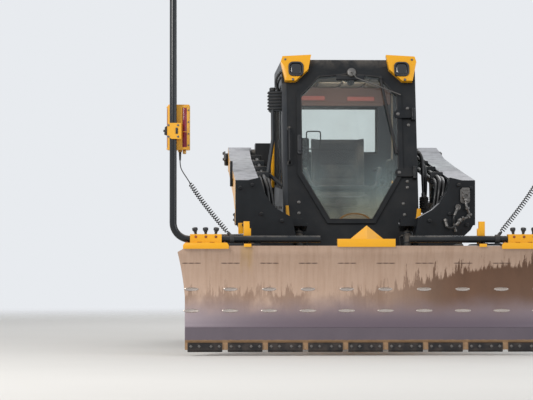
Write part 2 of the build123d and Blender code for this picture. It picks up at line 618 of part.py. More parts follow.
CONSOLE_X = (INSIDE_X[1] - 145, INSIDE_X[1] - 20)
LEVER_X = (CONSOLE_X[0] + CONSOLE_X[1]) / 2
DISPLAY_X = (INSIDE_X[0] + 50, INSIDE_X[0] + 170)
with BuildPart() as console:
    side_plate(((150, 1000), (760, 1000), (760, 1215), (330, 1240), (170, 1200)), CONSOLE_X)
    side_plate(((230, FLOOR_TOP), (700, FLOOR_TOP), (700, 1000), (230, 1000)),
               (CONSOLE_X[1] - 45, INSIDE_X[1]))
    bar((LEVER_X, 235, 1200), (LEVER_X, 215, 1330), 14)
    with Locations((LEVER_X, 212, 1345)):
        Sphere(30)
    mirror(about=Plane.YZ)
    block(DISPLAY_X, (60, 95), (1360, 1580))
    bar((DISPLAY_X[0] + 60, 80, 1400), (-LEVER_X - 18, 190, 1196), 12)
console.part.label = "cab_controls"
export_step(console.part, "parts/cab_controls.step")

# Boom arms: a beam from the tower down to a knee, which carries on as the inner leg
TILT_X = 396
TILT_BASE = (-800, 900)
TILT_ROD = (-1040, 470)
TILT_EYE_HALF = 20
CROSS_TUBE = (-790, 600)
with BuildPart() as boom_arm:
    side_plate(
        ((1560, 1560), (1470, 1575), (900, 1462), (300, 1385), (-350, 1306), (-1070, 1222), (-1070, 900),
         (-910, 900), (-910, 1010), (-420, 1122), (150, 1204), (700, 1290), (1440, 1385), (1560, 1420)),
        BOOM_X,
    )
    bar((BOOM_X[0] - 18 + SEAT, *BOOM_PIVOT), (BOOM_X[1], *BOOM_PIVOT), 100)
    bar((BOOM_X[0] - 30, *BOOM_PIVOT), (BOOM_X[1] + 1, *BOOM_PIVOT), BOOM_PIN_R + RUN, mode=Mode.SUBTRACT)
    with BuildSketch(Plane.XZ.offset(910)) as knee:
        Polygon((684, 1242), (838, 1206), (862, 1180), (862, 925), (828, 864), (718, 763), (LEG_X[1], 700),
                (LEG_X[0], 700), (430, 830), (455, 955), (556, 1012), (606, 1058), (657, 1140))
    extrude(amount=160)
    side_link(((*TOOL_PIVOT, 60), (-860, 770, 60), (*CROSS_TUBE, 60)), LEG_X)
    bar((LEG_X[0] - 1, *TOOL_PIVOT), (LEG_X[1] + 1, *TOOL_PIVOT), TOOL_PIN_R + RUN, mode=Mode.SUBTRACT)
    # ears under the beam for the lift cylinder's rod eye
    for low, high in ((BOOM_X[0], LIFT_X - LIFT_EYE_HALF - RUN),
                      (LIFT_X + LIFT_EYE_HALF + RUN, LIFT_X + LIFT_EYE_HALF + 24)):
        side_link(((*LIFT_ROD, 55), (LIFT_ROD[0] - 110, 1250, 20), (LIFT_ROD[0] + 60, 1280, 20)), (low, high))
    # bracket behind the knee for the tilt cylinder's foot
    block((TILT_X - 56, LEG_X[0] + 10), (-912, -892), (896, 950))
    for low, high in ((TILT_X - 56, TILT_X - TILT_EYE_HALF - RUN), (TILT_X + TILT_EYE_HALF + RUN, TILT_X + 46)):
        side_link(((*TILT_BASE, 42), (-900, 940, 10), (-900, 906, 10)), (low, high))
    bar((TILT_X - 62, *TILT_BASE), (TILT_X + 52, *TILT_BASE), 20)
save_pair(boom_arm.part, "boom_arm")

with BuildPart() as cross_tube:
    bar((-LEG_X[0], *CROSS_TUBE), (LEG_X[0], *CROSS_TUBE), 45)
cross_tube.part.label = "boom_cross_tube"
export_step(cross_tube.part, "parts/boom_cross_tube.step")


# Hydraulic cylinders, each along the local X of a frame whose Z is the pins' axis
def cylinder_frame(base, rod, pin_axis):
    """Frame at the base pin, with X towards the rod pin."""
    return Plane(origin=base, x_dir=Vector(*rod) - Vector(*base), z_dir=pin_axis)


def turned(frame, profile):
    """Add the profile, points along and out from the cylinder's axis, revolved about it."""
    with BuildSketch(frame) as half:
        Polygon(*profile)
    revolve(half.sketch, axis=Axis(frame.origin, frame.x_dir))


def eye(frame, along, radius, half_width, pin_r):
    """Add a bored eye whose axis is the frame's Z."""
    with BuildSketch(frame.offset(-half_width)) as ring:
        with Locations((along, 0)):
            Circle(radius)
            Circle(pin_r + RUN, mode=Mode.SUBTRACT)
    extrude(ring.sketch, amount=2 * half_width)


def barrel(frame, shoulder, mouth, radius, rod_r, eye_r, half_width, pin_r):
    """A cylinder's barrel, bored for the rod, with a neck from its shoulder to the base eye."""
    neck_r = half_width - 3
    turned(frame, ((eye_r - 6, 0), (eye_r - 6, neck_r), (shoulder, neck_r), (shoulder, radius),
                   (mouth - 30, radius), (mouth - 30, radius + 5), (mouth, radius + 5),
                   (mouth, rod_r + RUN), (shoulder + 8, rod_r + RUN), (shoulder + 8, 0)))
    eye(frame, 0, eye_r, half_width, pin_r)


def rod(frame, span, length, rod_r, eye_r, half_width, pin_r):
    """A cylinder's rod with its eye at the far end of the span."""
    turned(frame, ((span - length, 0), (span - length, rod_r), (span - eye_r + 4, rod_r),
                   (span - eye_r + 4, 0)))
    eye(frame, span, eye_r, half_width, pin_r)


def save_cylinders(rows, node_barrel, node_rod):
    """Write a node of barrels and a node of rods from rows of their measures."""
    with BuildPart() as barrels:
        for frame, span, shoulder, mouth, length, radius, rod_r, eye_r, half_width, pin_r in rows:
            barrel(frame, shoulder, mouth, radius, rod_r, eye_r, half_width, pin_r)
    barrels.part.label = node_barrel
    export_step(barrels.part, f"parts/{node_barrel}.step")
    with BuildPart() as rods:
        for frame, span, shoulder, mouth, length, radius, rod_r, eye_r, half_width, pin_r in rows:
            rod(frame, span, length, rod_r, eye_r, half_width, pin_r)
    rods.part.label = node_rod
    export_step(rods.part, f"parts/{node_rod}.step")


# Row: frame, span, shoulder, mouth, rod length, barrel radius, rod radius, eye radius, eye half width, pin radius
lift_span = math.dist(LIFT_BASE, LIFT_ROD)
save_cylinders(
    [(cylinder_frame((side * LIFT_X, *LIFT_BASE), (side * LIFT_X, *LIFT_ROD), (1, 0, 0)),
      lift_span, 66, 980, 900, 42, 24, 46, LIFT_EYE_HALF, 28) for side, hand in LEFT_RIGHT],
    "lift_cylinder_barrels", "lift_cylinder_rods")
tilt_span = math.dist(TILT_BASE, TILT_ROD)
save_cylinders(
    [(cylinder_frame((side * TILT_X, *TILT_BASE), (side * TILT_X, *TILT_ROD), (1, 0, 0)),
      tilt_span, 62, 350, 300, 36, 17, 36, TILT_EYE_HALF, 20) for side, hand in LEFT_RIGHT],
    "tilt_cylinder_barrels", "tilt_cylinder_rods")

# Coupler: a plate hung on the two legs, with ears for the tilt cylinders' rods
COUPLER_BACK_Y = ADAPTER_Y + 18
COUPLER_Z = (185, 540)
with BuildPart() as coupler:
    block((-620, 620), (ADAPTER_Y, COUPLER_BACK_Y), COUPLER_Z)
    block((-330, 330), (ADAPTER_Y - 1, COUPLER_BACK_Y + 1), (COUPLER_Z[0] + 70, COUPLER_Z[1] - 80),
          mode=Mode.SUBTRACT)
    for side, hand in LEFT_RIGHT:
        for low, high in ((LEG_X[0] - 24, LEG_X[0] - RUN), (LEG_X[1] + RUN, LEG_X[1] + 24)):
            span = sorted((side * low, side * high))
            side_link(((*TOOL_PIVOT, 48), (COUPLER_BACK_Y - 4, 330, 4), (COUPLER_BACK_Y - 4, 205, 4)), span)
        bar((side * (LEG_X[0] - 34), *TOOL_PIVOT), (side * (LEG_X[1] + 34), *TOOL_PIVOT), TOOL_PIN_R)
        ears = ((TILT_X - TILT_EYE_HALF - 18, TILT_X - TILT_EYE_HALF - RUN),
                (TILT_X + TILT_EYE_HALF + RUN, TILT_X + TILT_EYE_HALF + 18))
        for low, high in ears:
            span = sorted((side * low, side * high))
            side_link(((*TILT_ROD, 34), (COUPLER_BACK_Y - 6, 520, 6), (COUPLER_BACK_Y - 6, 420, 6)), span)
coupler.part.label = "coupler"
export_step(coupler.part, "parts/coupler.step")

# Push frame: the blade's adapter plate and a beam forked round the kingpin
ANGLE_BASE = (390, -1190)
ANGLE_ROD = (215, -1580)
ANGLE_EYE_HALF = 20
FORK_HALF_X = 110
LUG_HALF_Z = 70
PIN_Z = (TOOL_AXIS_Z - ANGLE_EYE_HALF - 20, TOOL_AXIS_Z + ANGLE_EYE_HALF + 20)
ANGLE_EARS = ((PIN_Z[0], TOOL_AXIS_Z - ANGLE_EYE_HALF - RUN), (TOOL_AXIS_Z + ANGLE_EYE_HALF + RUN, PIN_Z[1]))
with BuildPart() as push_frame:
    with BuildSketch(Plane.XZ.offset(-ADAPTER_Y)) as adapter:
        with Locations((0, (COUPLER_Z[0] + COUPLER_Z[1]) / 2)):
            Rectangle(1160, COUPLER_Z[1] - COUPLER_Z[0])
    extrude(amount=PLATE_T)
    beam_foot = ADAPTER_Y - PLATE_T
    with BuildSketch(Plane.XY.offset(TOOL_AXIS_Z - LUG_HALF_Z - 30)) as beam:
        Polygon((-200, beam_foot), (200, beam_foot), (FORK_HALF_X, KINGPIN_Y + 130), (FORK_HALF_X, KINGPIN_Y),
                (-FORK_HALF_X, KINGPIN_Y), (-FORK_HALF_X, KINGPIN_Y + 130))
        with Locations((0, KINGPIN_Y)):
            Circle(FORK_HALF_X)
    extrude(amount=2 * LUG_HALF_Z + 60)
    block((-FORK_HALF_X - 90, FORK_HALF_X + 90), (KINGPIN_Y - FORK_HALF_X - 1, KINGPIN_Y + 112),
          (TOOL_AXIS_Z - LUG_HALF_Z - RUN, TOOL_AXIS_Z + LUG_HALF_Z + RUN), mode=Mode.SUBTRACT)
    bar((0, KINGPIN_Y, TOOL_AXIS_Z - LUG_HALF_Z - 45), (0, KINGPIN_Y, TOOL_AXIS_Z + LUG_HALF_Z + 45), KINGPIN_R)
    for side, hand in LEFT_RIGHT:
        x = side * ANGLE_BASE[0]
        for low, high in ANGLE_EARS:
            hull_plate(Plane.XY, low, high, ((x, ANGLE_BASE[1], 34), (x - 40, beam_foot + 5, 4),
                                             (x + 40, beam_foot + 5, 4)))
        pin = (side * ANGLE_BASE[0], ANGLE_BASE[1])
        bar((*pin, PIN_Z[0] - 6), (*pin, PIN_Z[1] + 6), 18)
push_frame.part.label = "push_frame"
export_step(push_frame.part, "parts/push_frame.step")

# Yoke: turns on the kingpin, carries the blade's trunnion and the tilt cylinder's foot
YOKE_Y = (-1700, -1630)
YOKE_HALF_X = 270
YOKE_Z = (TOOL_AXIS_Z - 65, TOOL_AXIS_Z + 65)
BLADE_TILT_Z = 600
BLADE_TILT_Y = -1665
BLADE_TILT_BASE_X = -190
BLADE_TILT_ROD_X = 300
BLADE_TILT_HALF = 18
TILT_EARS = ((BLADE_TILT_Y - BLADE_TILT_HALF - 16, BLADE_TILT_Y - BLADE_TILT_HALF - RUN),
             (BLADE_TILT_Y + BLADE_TILT_HALF + RUN, BLADE_TILT_Y + BLADE_TILT_HALF + 16))
with BuildPart() as yoke:
    block((-YOKE_HALF_X, YOKE_HALF_X), YOKE_Y, YOKE_Z)
    with BuildSketch(Plane.XY.offset(TOOL_AXIS_Z - LUG_HALF_Z)) as lug:
        Polygon((-90, YOKE_Y[1]), (90, YOKE_Y[1]), (90, KINGPIN_Y), (-90, KINGPIN_Y))
        with Locations((0, KINGPIN_Y)):
            Circle(90)
    extrude(amount=2 * LUG_HALF_Z)
    bar((0, KINGPIN_Y, YOKE_Z[0] - 20), (0, KINGPIN_Y, YOKE_Z[1] + 20), KINGPIN_R + RUN, mode=Mode.SUBTRACT)
    bar((0, YOKE_Y[0], TOOL_AXIS_Z), (0, YOKE_Y[0] - 96, TOOL_AXIS_Z), TRUNNION_R)
    for side, hand in LEFT_RIGHT:
        x = side * ANGLE_ROD[0]
        for low, high in ANGLE_EARS:
            hull_plate(Plane.XY, low, high, ((x, ANGLE_ROD[1], 30), (x - 36, YOKE_Y[1] - 4, 4),
                                             (x + 36, YOKE_Y[1] - 4, 4)))
    x = BLADE_TILT_BASE_X
    for low, high in TILT_EARS:
        hull_plate(Plane.XZ, -high, -low, ((x, BLADE_TILT_Z, 34), (x - 50, YOKE_Z[1], 6), (x + 50, YOKE_Z[1], 6)))
    tilt_foot = (BLADE_TILT_Y - BLADE_TILT_HALF - 20, BLADE_TILT_Y + BLADE_TILT_HALF + 20)
    bar((BLADE_TILT_BASE_X, tilt_foot[0], BLADE_TILT_Z), (BLADE_TILT_BASE_X, tilt_foot[1], BLADE_TILT_Z), 18)
yoke.part.label = "blade_yoke"
export_step(yoke.part, "parts/blade_yoke.step")

angle_span = math.dist(ANGLE_BASE, ANGLE_ROD)
for side, hand in LEFT_RIGHT:
    base_point = (side * ANGLE_BASE[0], ANGLE_BASE[1], TOOL_AXIS_Z)
    rod_point = (side * ANGLE_ROD[0], ANGLE_ROD[1], TOOL_AXIS_Z)
    save_cylinders(
        [(cylinder_frame(base_point, rod_point, (0, 0, 1)), angle_span, 40, 285, 262, 32, 17, 28,
          ANGLE_EYE_HALF, 18)],
        f"angle_barrel_{hand}", f"angle_rod_{hand}")
save_cylinders(
    [(cylinder_frame((BLADE_TILT_BASE_X, BLADE_TILT_Y, BLADE_TILT_Z),
                     (BLADE_TILT_ROD_X, BLADE_TILT_Y, BLADE_TILT_Z), (0, 1, 0)),
      BLADE_TILT_ROD_X - BLADE_TILT_BASE_X, 58, 380, 240, 32, 15, 28, BLADE_TILT_HALF, 18)],
    "blade_tilt_barrel", "blade_tilt_rod")


# Moldboard: a rolled plate with ribs, a box beam and a trunnion bracket behind it
def moldboard_arc(back, low, high):
    """Front or back face of the rolled plate, shifted backwards by the given amount."""
    ThreePointArc((low[0] + back, low[1]), (BLADE_DEEP[0] + back, BLADE_DEEP[1]), (high[0] + back, high[1]))


LIP = (BLADE_LIP_Y, BLADE_TOP)
RIB_REAR_Y = -1800
EDGE_HALF = BLADE_HALF - 50
RIB_END = EDGE_HALF - 20
RIB_XS = (-RIB_END, -760, -262, 262, 760, RIB_END)
with BuildPart() as moldboard:
    with BuildSketch(Plane.YZ.offset(-BLADE_HALF)) as shell:
        with BuildLine():
            moldboard_arc(0, EDGE_TOP, LIP)
            Line(LIP, (LIP[0] + BLADE_T, LIP[1]))
            moldboard_arc(BLADE_T, EDGE_TOP, LIP)
            Line((EDGE_TOP[0] + BLADE_T, EDGE_TOP[1]), EDGE_TOP)
        make_face()
    extrude(amount=2 * BLADE_HALF)
    with BuildSketch(Plane.XZ.offset(-RIB_REAR_Y)) as end_cut:
        with BuildLine():
            ThreePointArc((BLADE_HALF, BLADE_TOP - 42), (BLADE_HALF - 32, BLADE_TOP - 198),
                          (EDGE_HALF, BLADE_TOP - 345))
            Polyline((EDGE_HALF, BLADE_TOP - 345), (EDGE_HALF, 0), (BLADE_HALF + 9, 0),
                     (BLADE_HALF + 9, BLADE_TOP + 9), (BLADE_HALF - 91, BLADE_TOP + 9),
                     (BLADE_HALF - 75, BLADE_TOP), (BLADE_HALF, BLADE_TOP - 42))
        make_face()
        mirror(about=Plane.YZ)
    extrude(amount=RIB_REAR_Y - BLADE_LIP_Y + 9, mode=Mode.SUBTRACT)
moldboard.part.label = "moldboard"
export_step(moldboard.part, "parts/moldboard.step")

# Cutting edge: a plate under the rolled one, with bolt-on segments along its foot
SEGMENT_COUNT = 9
SEGMENT_GAP = 36
SEGMENT_T = 12
SEGMENT_TOP = BLADE_FOOT - 18
SEGMENT_FOOT = 24
EDGE_FOOT_Y = EDGE_TOP[0] - 26
with BuildPart() as cutting_edge:
    side_plate(((EDGE_TOP[0], EDGE_TOP[1]), (EDGE_TOP[0] + BLADE_T, EDGE_TOP[1]),
                (EDGE_FOOT_Y + 22, BLADE_FOOT), (EDGE_FOOT_Y + 22, SEGMENT_FOOT + 16),
                (EDGE_FOOT_Y + SEGMENT_T, SEGMENT_FOOT + 16), (EDGE_FOOT_Y + SEGMENT_T, SEGMENT_TOP),
                (EDGE_FOOT_Y, BLADE_FOOT)), (-EDGE_HALF, EDGE_HALF))
    segment = 2 * EDGE_HALF / SEGMENT_COUNT
    for i in range(SEGMENT_COUNT):
        start = i * segment - EDGE_HALF + SEGMENT_GAP / 2
        side_plate(((EDGE_FOOT_Y + SEGMENT_T, SEGMENT_TOP), (EDGE_FOOT_Y, SEGMENT_TOP - 4),
                    (EDGE_FOOT_Y - 2, SEGMENT_FOOT + 14), (EDGE_FOOT_Y + SEGMENT_T, SEGMENT_FOOT)),
                   (start, start + segment - SEGMENT_GAP))
cutting_edge.part.label = "cutting_edge"
export_step(cutting_edge.part, "parts/cutting_edge.step")

with BuildPart() as blade_back:
    for x in RIB_XS:
        with BuildSketch(Plane.YZ.offset(x - 7)) as rib:
            with BuildLine():
                moldboard_arc(BLADE_T, EDGE_TOP, LIP)
                Polyline((LIP[0] + BLADE_T, LIP[1]), (LIP[0] + 60, LIP[1]), (RIB_REAR_Y, 610), (RIB_REAR_Y, 215),
                         (EDGE_TOP[0] + BLADE_T, EDGE_TOP[1]))
            make_face()
        extrude(amount=14)
    for low, high in ((205, 275), (560, 630)):
        block((-RIB_END, RIB_END), (RIB_REAR_Y - 50, RIB_REAR_Y), (low, high))
    block((-262, 262), (RIB_REAR_Y - 16, RIB_REAR_Y), (275, 560))
    bar((0, YOKE_Y[0] - 12, TOOL_AXIS_Z), (0, RIB_REAR_Y - 16, TOOL_AXIS_Z), 82)
    bar((0, YOKE_Y[0] - 11, TOOL_AXIS_Z), (0, YOKE_Y[0] - 97, TOOL_AXIS_Z), TRUNNION_R + RUN, mode=Mode.SUBTRACT)
    x = BLADE_TILT_ROD_X
    for low, high in TILT_EARS:
        hull_plate(Plane.XZ, -high, -low, ((x, BLADE_TILT_Z, 34), (x + 110, 625, 6), (x + 110, 565, 6)))
    block((x + 80, x + 116), (RIB_REAR_Y - 1, BLADE_TILT_Y + BLADE_TILT_HALF + 16), (562, 628))
blade_back.part.label = "blade_back_frame"
export_step(blade_back.part, "parts/blade_back_frame.step")

# Mast clamps, posts and the peaked centre piece on the blade's lip
CLAMP_X = 1083
with BuildPart() as mast_clamps:
    with BuildSketch(Plane.XZ.offset(-BLADE_LIP_Y)) as foot:
        with Locations((CLAMP_X, BLADE_TOP)):
            Trapezoid(310, 20, 38, align=(Align.CENTER, Align.MIN))
    extrude(amount=-130)
    clamp_x = (CLAMP_X - 107, CLAMP_X + 107)
    block(clamp_x, (MAST_Y - 42, MAST_Y + 42), (BLADE_TOP + 20, MAST_Z + 34))
    for x in (CLAMP_X - 42, CLAMP_X + 42):
        block((x - 16, x + 16), (MAST_Y - 43, MAST_Y - 34), (BLADE_TOP + 20, BLADE_TOP + 26), mode=Mode.SUBTRACT)
    bar((clamp_x[0] - 1, MAST_Y, MAST_Z), (clamp_x[1] + 1, MAST_Y, MAST_Z), MAST_R + SEAT, mode=Mode.SUBTRACT)
    mirror(about=Plane.YZ)
mast_clamps.part.label = "mast_clamps"
export_step(mast_clamps.part, "parts/mast_clamps.step")

KNOB_Z = MAST_Z + 34
with BuildPart() as clamp_knobs:
    for x in (CLAMP_X - 68, CLAMP_X, CLAMP_X + 68):
        bar((x, MAST_Y, KNOB_Z), (x, MAST_Y, KNOB_Z + 20), 9)
        with BuildSketch(Plane.XY.offset(KNOB_Z + 16)) as star:
            with Locations((x, MAST_Y)):
                Circle(17)
                with PolarLocations(18, 6):
                    Circle(4.5, mode=Mode.SUBTRACT)
        extrude(amount=31, taper=4)
    mirror(about=Plane.YZ)
clamp_knobs.part.label = "clamp_knobs"
export_step(clamp_knobs.part, "parts/clamp_knobs.step")

POST_X = 800
POST_HALF = 25
POST_TOP = 912
with BuildPart() as lip_sights:
    post_x = (POST_X - POST_HALF, POST_X + POST_HALF)
    block(post_x, (BLADE_LIP_Y, BLADE_LIP_Y + 150), (BLADE_TOP, BLADE_TOP + 14))
    block(post_x, (BLADE_LIP_Y + 100, BLADE_LIP_Y + 150), (BLADE_TOP + 14, POST_TOP))
    block((post_x[0] - 1, post_x[0] + 10), (BLADE_LIP_Y + 99, BLADE_LIP_Y + 151), (POST_TOP - 48, POST_TOP + 1),
          mode=Mode.SUBTRACT)
    mirror(about=Plane.YZ)
    block((-190, 190), (BLADE_LIP_Y, BLADE_LIP_Y + 130), (BLADE_TOP, BLADE_TOP + 14))
    with BuildSketch(Plane.XY.offset(BLADE_TOP + 14)) as foot_print:
        with Locations((0, BLADE_LIP_Y + 65)):
            Rectangle(200, 110)
    with BuildSketch(Plane.XY.offset(BLADE_TOP + 130)) as tip:
        with Locations((0, BLADE_LIP_Y + 65)):
            Rectangle(8, 8)
    loft()
lip_sights.part.label = "lip_sights"
export_step(lip_sights.part, "parts/lip_sights.step")

# Masts: one bent tube each, lying in its clamp, with a laser receiver on the upright
RECEIVER_Z = (1400, 1700)
RECEIVER_X = MAST_X - 38
BRACKET_Z = (1470, 1578)
with BuildPart() as mast:
    with BuildLine() as way:
        FilletPolyline((MAST_FOOT_X, MAST_Y, MAST_Z), (MAST_X, MAST_Y, MAST_Z), (MAST_X, MAST_Y, MAST_TOP),
                       radius=MAST_BEND)
    with BuildSketch(Plane(origin=(MAST_FOOT_X, MAST_Y, MAST_Z), z_dir=(1, 0, 0))) as ring:
        Circle(MAST_R)
    sweep()
save_pair(mast.part, "mast")

RECEIVER_FRONT_Y = MAST_Y + MAST_R + 20
with BuildPart() as receiver:
    block((RECEIVER_X - 77, RECEIVER_X + 77), (RECEIVER_FRONT_Y, RECEIVER_FRONT_Y + 120), RECEIVER_Z)
    fillet(receiver.edges().filter_by(Axis.Z), 30)
    with BuildSketch(Plane.XZ.offset(-RECEIVER_FRONT_Y - 1)) as bracket:
        Polygon((MAST_X - 54, BRACKET_Z[0]), (MAST_X + 12, BRACKET_Z[0]), (MAST_X + 40, BRACKET_Z[0] + 26),
                (MAST_X + 40, BRACKET_Z[1] - 18), (MAST_X + 24, BRACKET_Z[1]), (MAST_X - 54, BRACKET_Z[1]))
    extrude(amount=RECEIVER_FRONT_Y + 1 - MAST_Y + 38)
    bar((MAST_X, MAST_Y, BRACKET_Z[0] - 1), (MAST_X, MAST_Y, BRACKET_Z[1] + 1), MAST_R, mode=Mode.SUBTRACT)
    window_x = RECEIVER_X - 40
    window_y = RECEIVER_FRONT_Y + 12
    bar((window_x, window_y, RECEIVER_Z[0] + 14), (window_x, window_y, RECEIVER_Z[1] - 10), 18)
save_pair(receiver.part, "laser_receiver")

# Cords: a lead from the receiver, then a curly cord down to a clip on the mast's foot
CORD_D = 7
COIL_D = 36
LEAD = ((1258, -1826, 1330), (1258, -1826, 1289), (1239, -1831, 1249), (1214, -1837, 1212.3),
        (1192, -1842, 1178))
COIL = ((1192, -1842, 1178), (1135, -1855, 1089), (1069, -1871, 1002), (1001, -1889, 918), (932, -1908, 836))


def corner_radii(points):
    """Arc radius at each corner: 0.45 of the shorter run over the tangent of half the turn."""
    radii = []
    for before, corner, after in zip(points, points[1:], points[2:]):
        first = Vector(*corner) - Vector(*before)
        second = Vector(*after) - Vector(*corner)
        half_turn = math.radians(first.get_angle(second) / 2)
        radii.append(0.45 * min(first.length, second.length) / math.tan(half_turn))
    return radii


def cord_tube(points, diameter):
    """A tube of straight runs and tangent arcs along the points."""
    radii = corner_radii(points)
    print("radii", [round(radius) for radius in radii])
    with BuildPart() as tube:
        with BuildLine() as way:
            FilletPolyline(*points, radius=radii)
        start = Vector(*points[0])
        with BuildSketch(Plane(origin=start, z_dir=Vector(*points[1]) - start)) as ring:
            Circle(diameter / 2)
        sweep()
    print("volume over section times length",
          tube.part.volume / (math.pi * diameter ** 2 / 4 * sum(edge.length for edge in way.edges())))
    return tube.part


save_pair(cord_tube(LEAD, CORD_D), "cord_lead")
save_pair(cord_tube(COIL, COIL_D), "cord_coil")

CLIP_X = 905
with BuildPart() as cord_end:
    relief = Vector(*LEAD[0])
    with BuildSketch(Plane.XY.offset(relief.Z)) as small:
        with Locations((relief.X, relief.Y)):
            Circle(6)
    with BuildSketch(Plane.XY.offset(RECEIVER_Z[0])) as large:
        with Locations((relief.X, relief.Y)):
            Circle(10)
    loft()
    bar((CLIP_X - 15, MAST_Y, MAST_Z), (CLIP_X + 15, MAST_Y, MAST_Z), MAST_R + 8)
    end = Vector(*COIL[-1])
    bar(end, end + (end - Vector(*COIL[-2])).normalized() * 30, 11)
    bar((CLIP_X - 40, MAST_Y, MAST_Z), (CLIP_X + 40, MAST_Y, MAST_Z), MAST_R, mode=Mode.SUBTRACT)
save_pair(cord_end.part, "cord_ends")
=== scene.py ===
"""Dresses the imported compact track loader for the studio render."""
import json
import math

import bmesh
import bpy
from mathutils import Matrix, Vector


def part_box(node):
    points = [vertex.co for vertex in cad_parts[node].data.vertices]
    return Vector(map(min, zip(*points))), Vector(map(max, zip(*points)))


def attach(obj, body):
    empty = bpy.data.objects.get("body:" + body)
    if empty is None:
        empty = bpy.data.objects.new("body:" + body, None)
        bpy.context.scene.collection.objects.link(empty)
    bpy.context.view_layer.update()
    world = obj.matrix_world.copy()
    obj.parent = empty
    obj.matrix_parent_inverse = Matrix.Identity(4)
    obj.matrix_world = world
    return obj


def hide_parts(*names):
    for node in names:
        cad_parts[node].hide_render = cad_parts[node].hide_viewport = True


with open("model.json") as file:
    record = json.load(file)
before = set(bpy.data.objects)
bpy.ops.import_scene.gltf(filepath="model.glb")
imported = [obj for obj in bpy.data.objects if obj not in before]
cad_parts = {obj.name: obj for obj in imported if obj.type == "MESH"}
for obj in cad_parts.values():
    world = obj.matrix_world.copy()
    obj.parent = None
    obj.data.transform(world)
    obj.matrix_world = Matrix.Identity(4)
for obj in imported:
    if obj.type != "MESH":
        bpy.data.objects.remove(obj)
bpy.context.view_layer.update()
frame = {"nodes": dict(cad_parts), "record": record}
nodes = frame["nodes"]
SIDES = ((1, "left"), (-1, "right"))


# Colours and node helpers
def colour(red, green, blue):
    """A linear colour from one written in 0 to 255."""
    values = (part / 255 for part in (red, green, blue))
    return tuple(v / 12.92 if v <= 0.04045 else ((v + 0.055) / 1.055) ** 2.4 for v in values) + (1,)


YELLOW = (226, 160, 6)
BLACK = (14, 17, 21)
DUST = (190, 178, 164)


def shade(tone, share):
    """A darker or lighter tone of a colour, in linear values."""
    return tuple(share * part for part in colour(*tone)[:3]) + (1,)


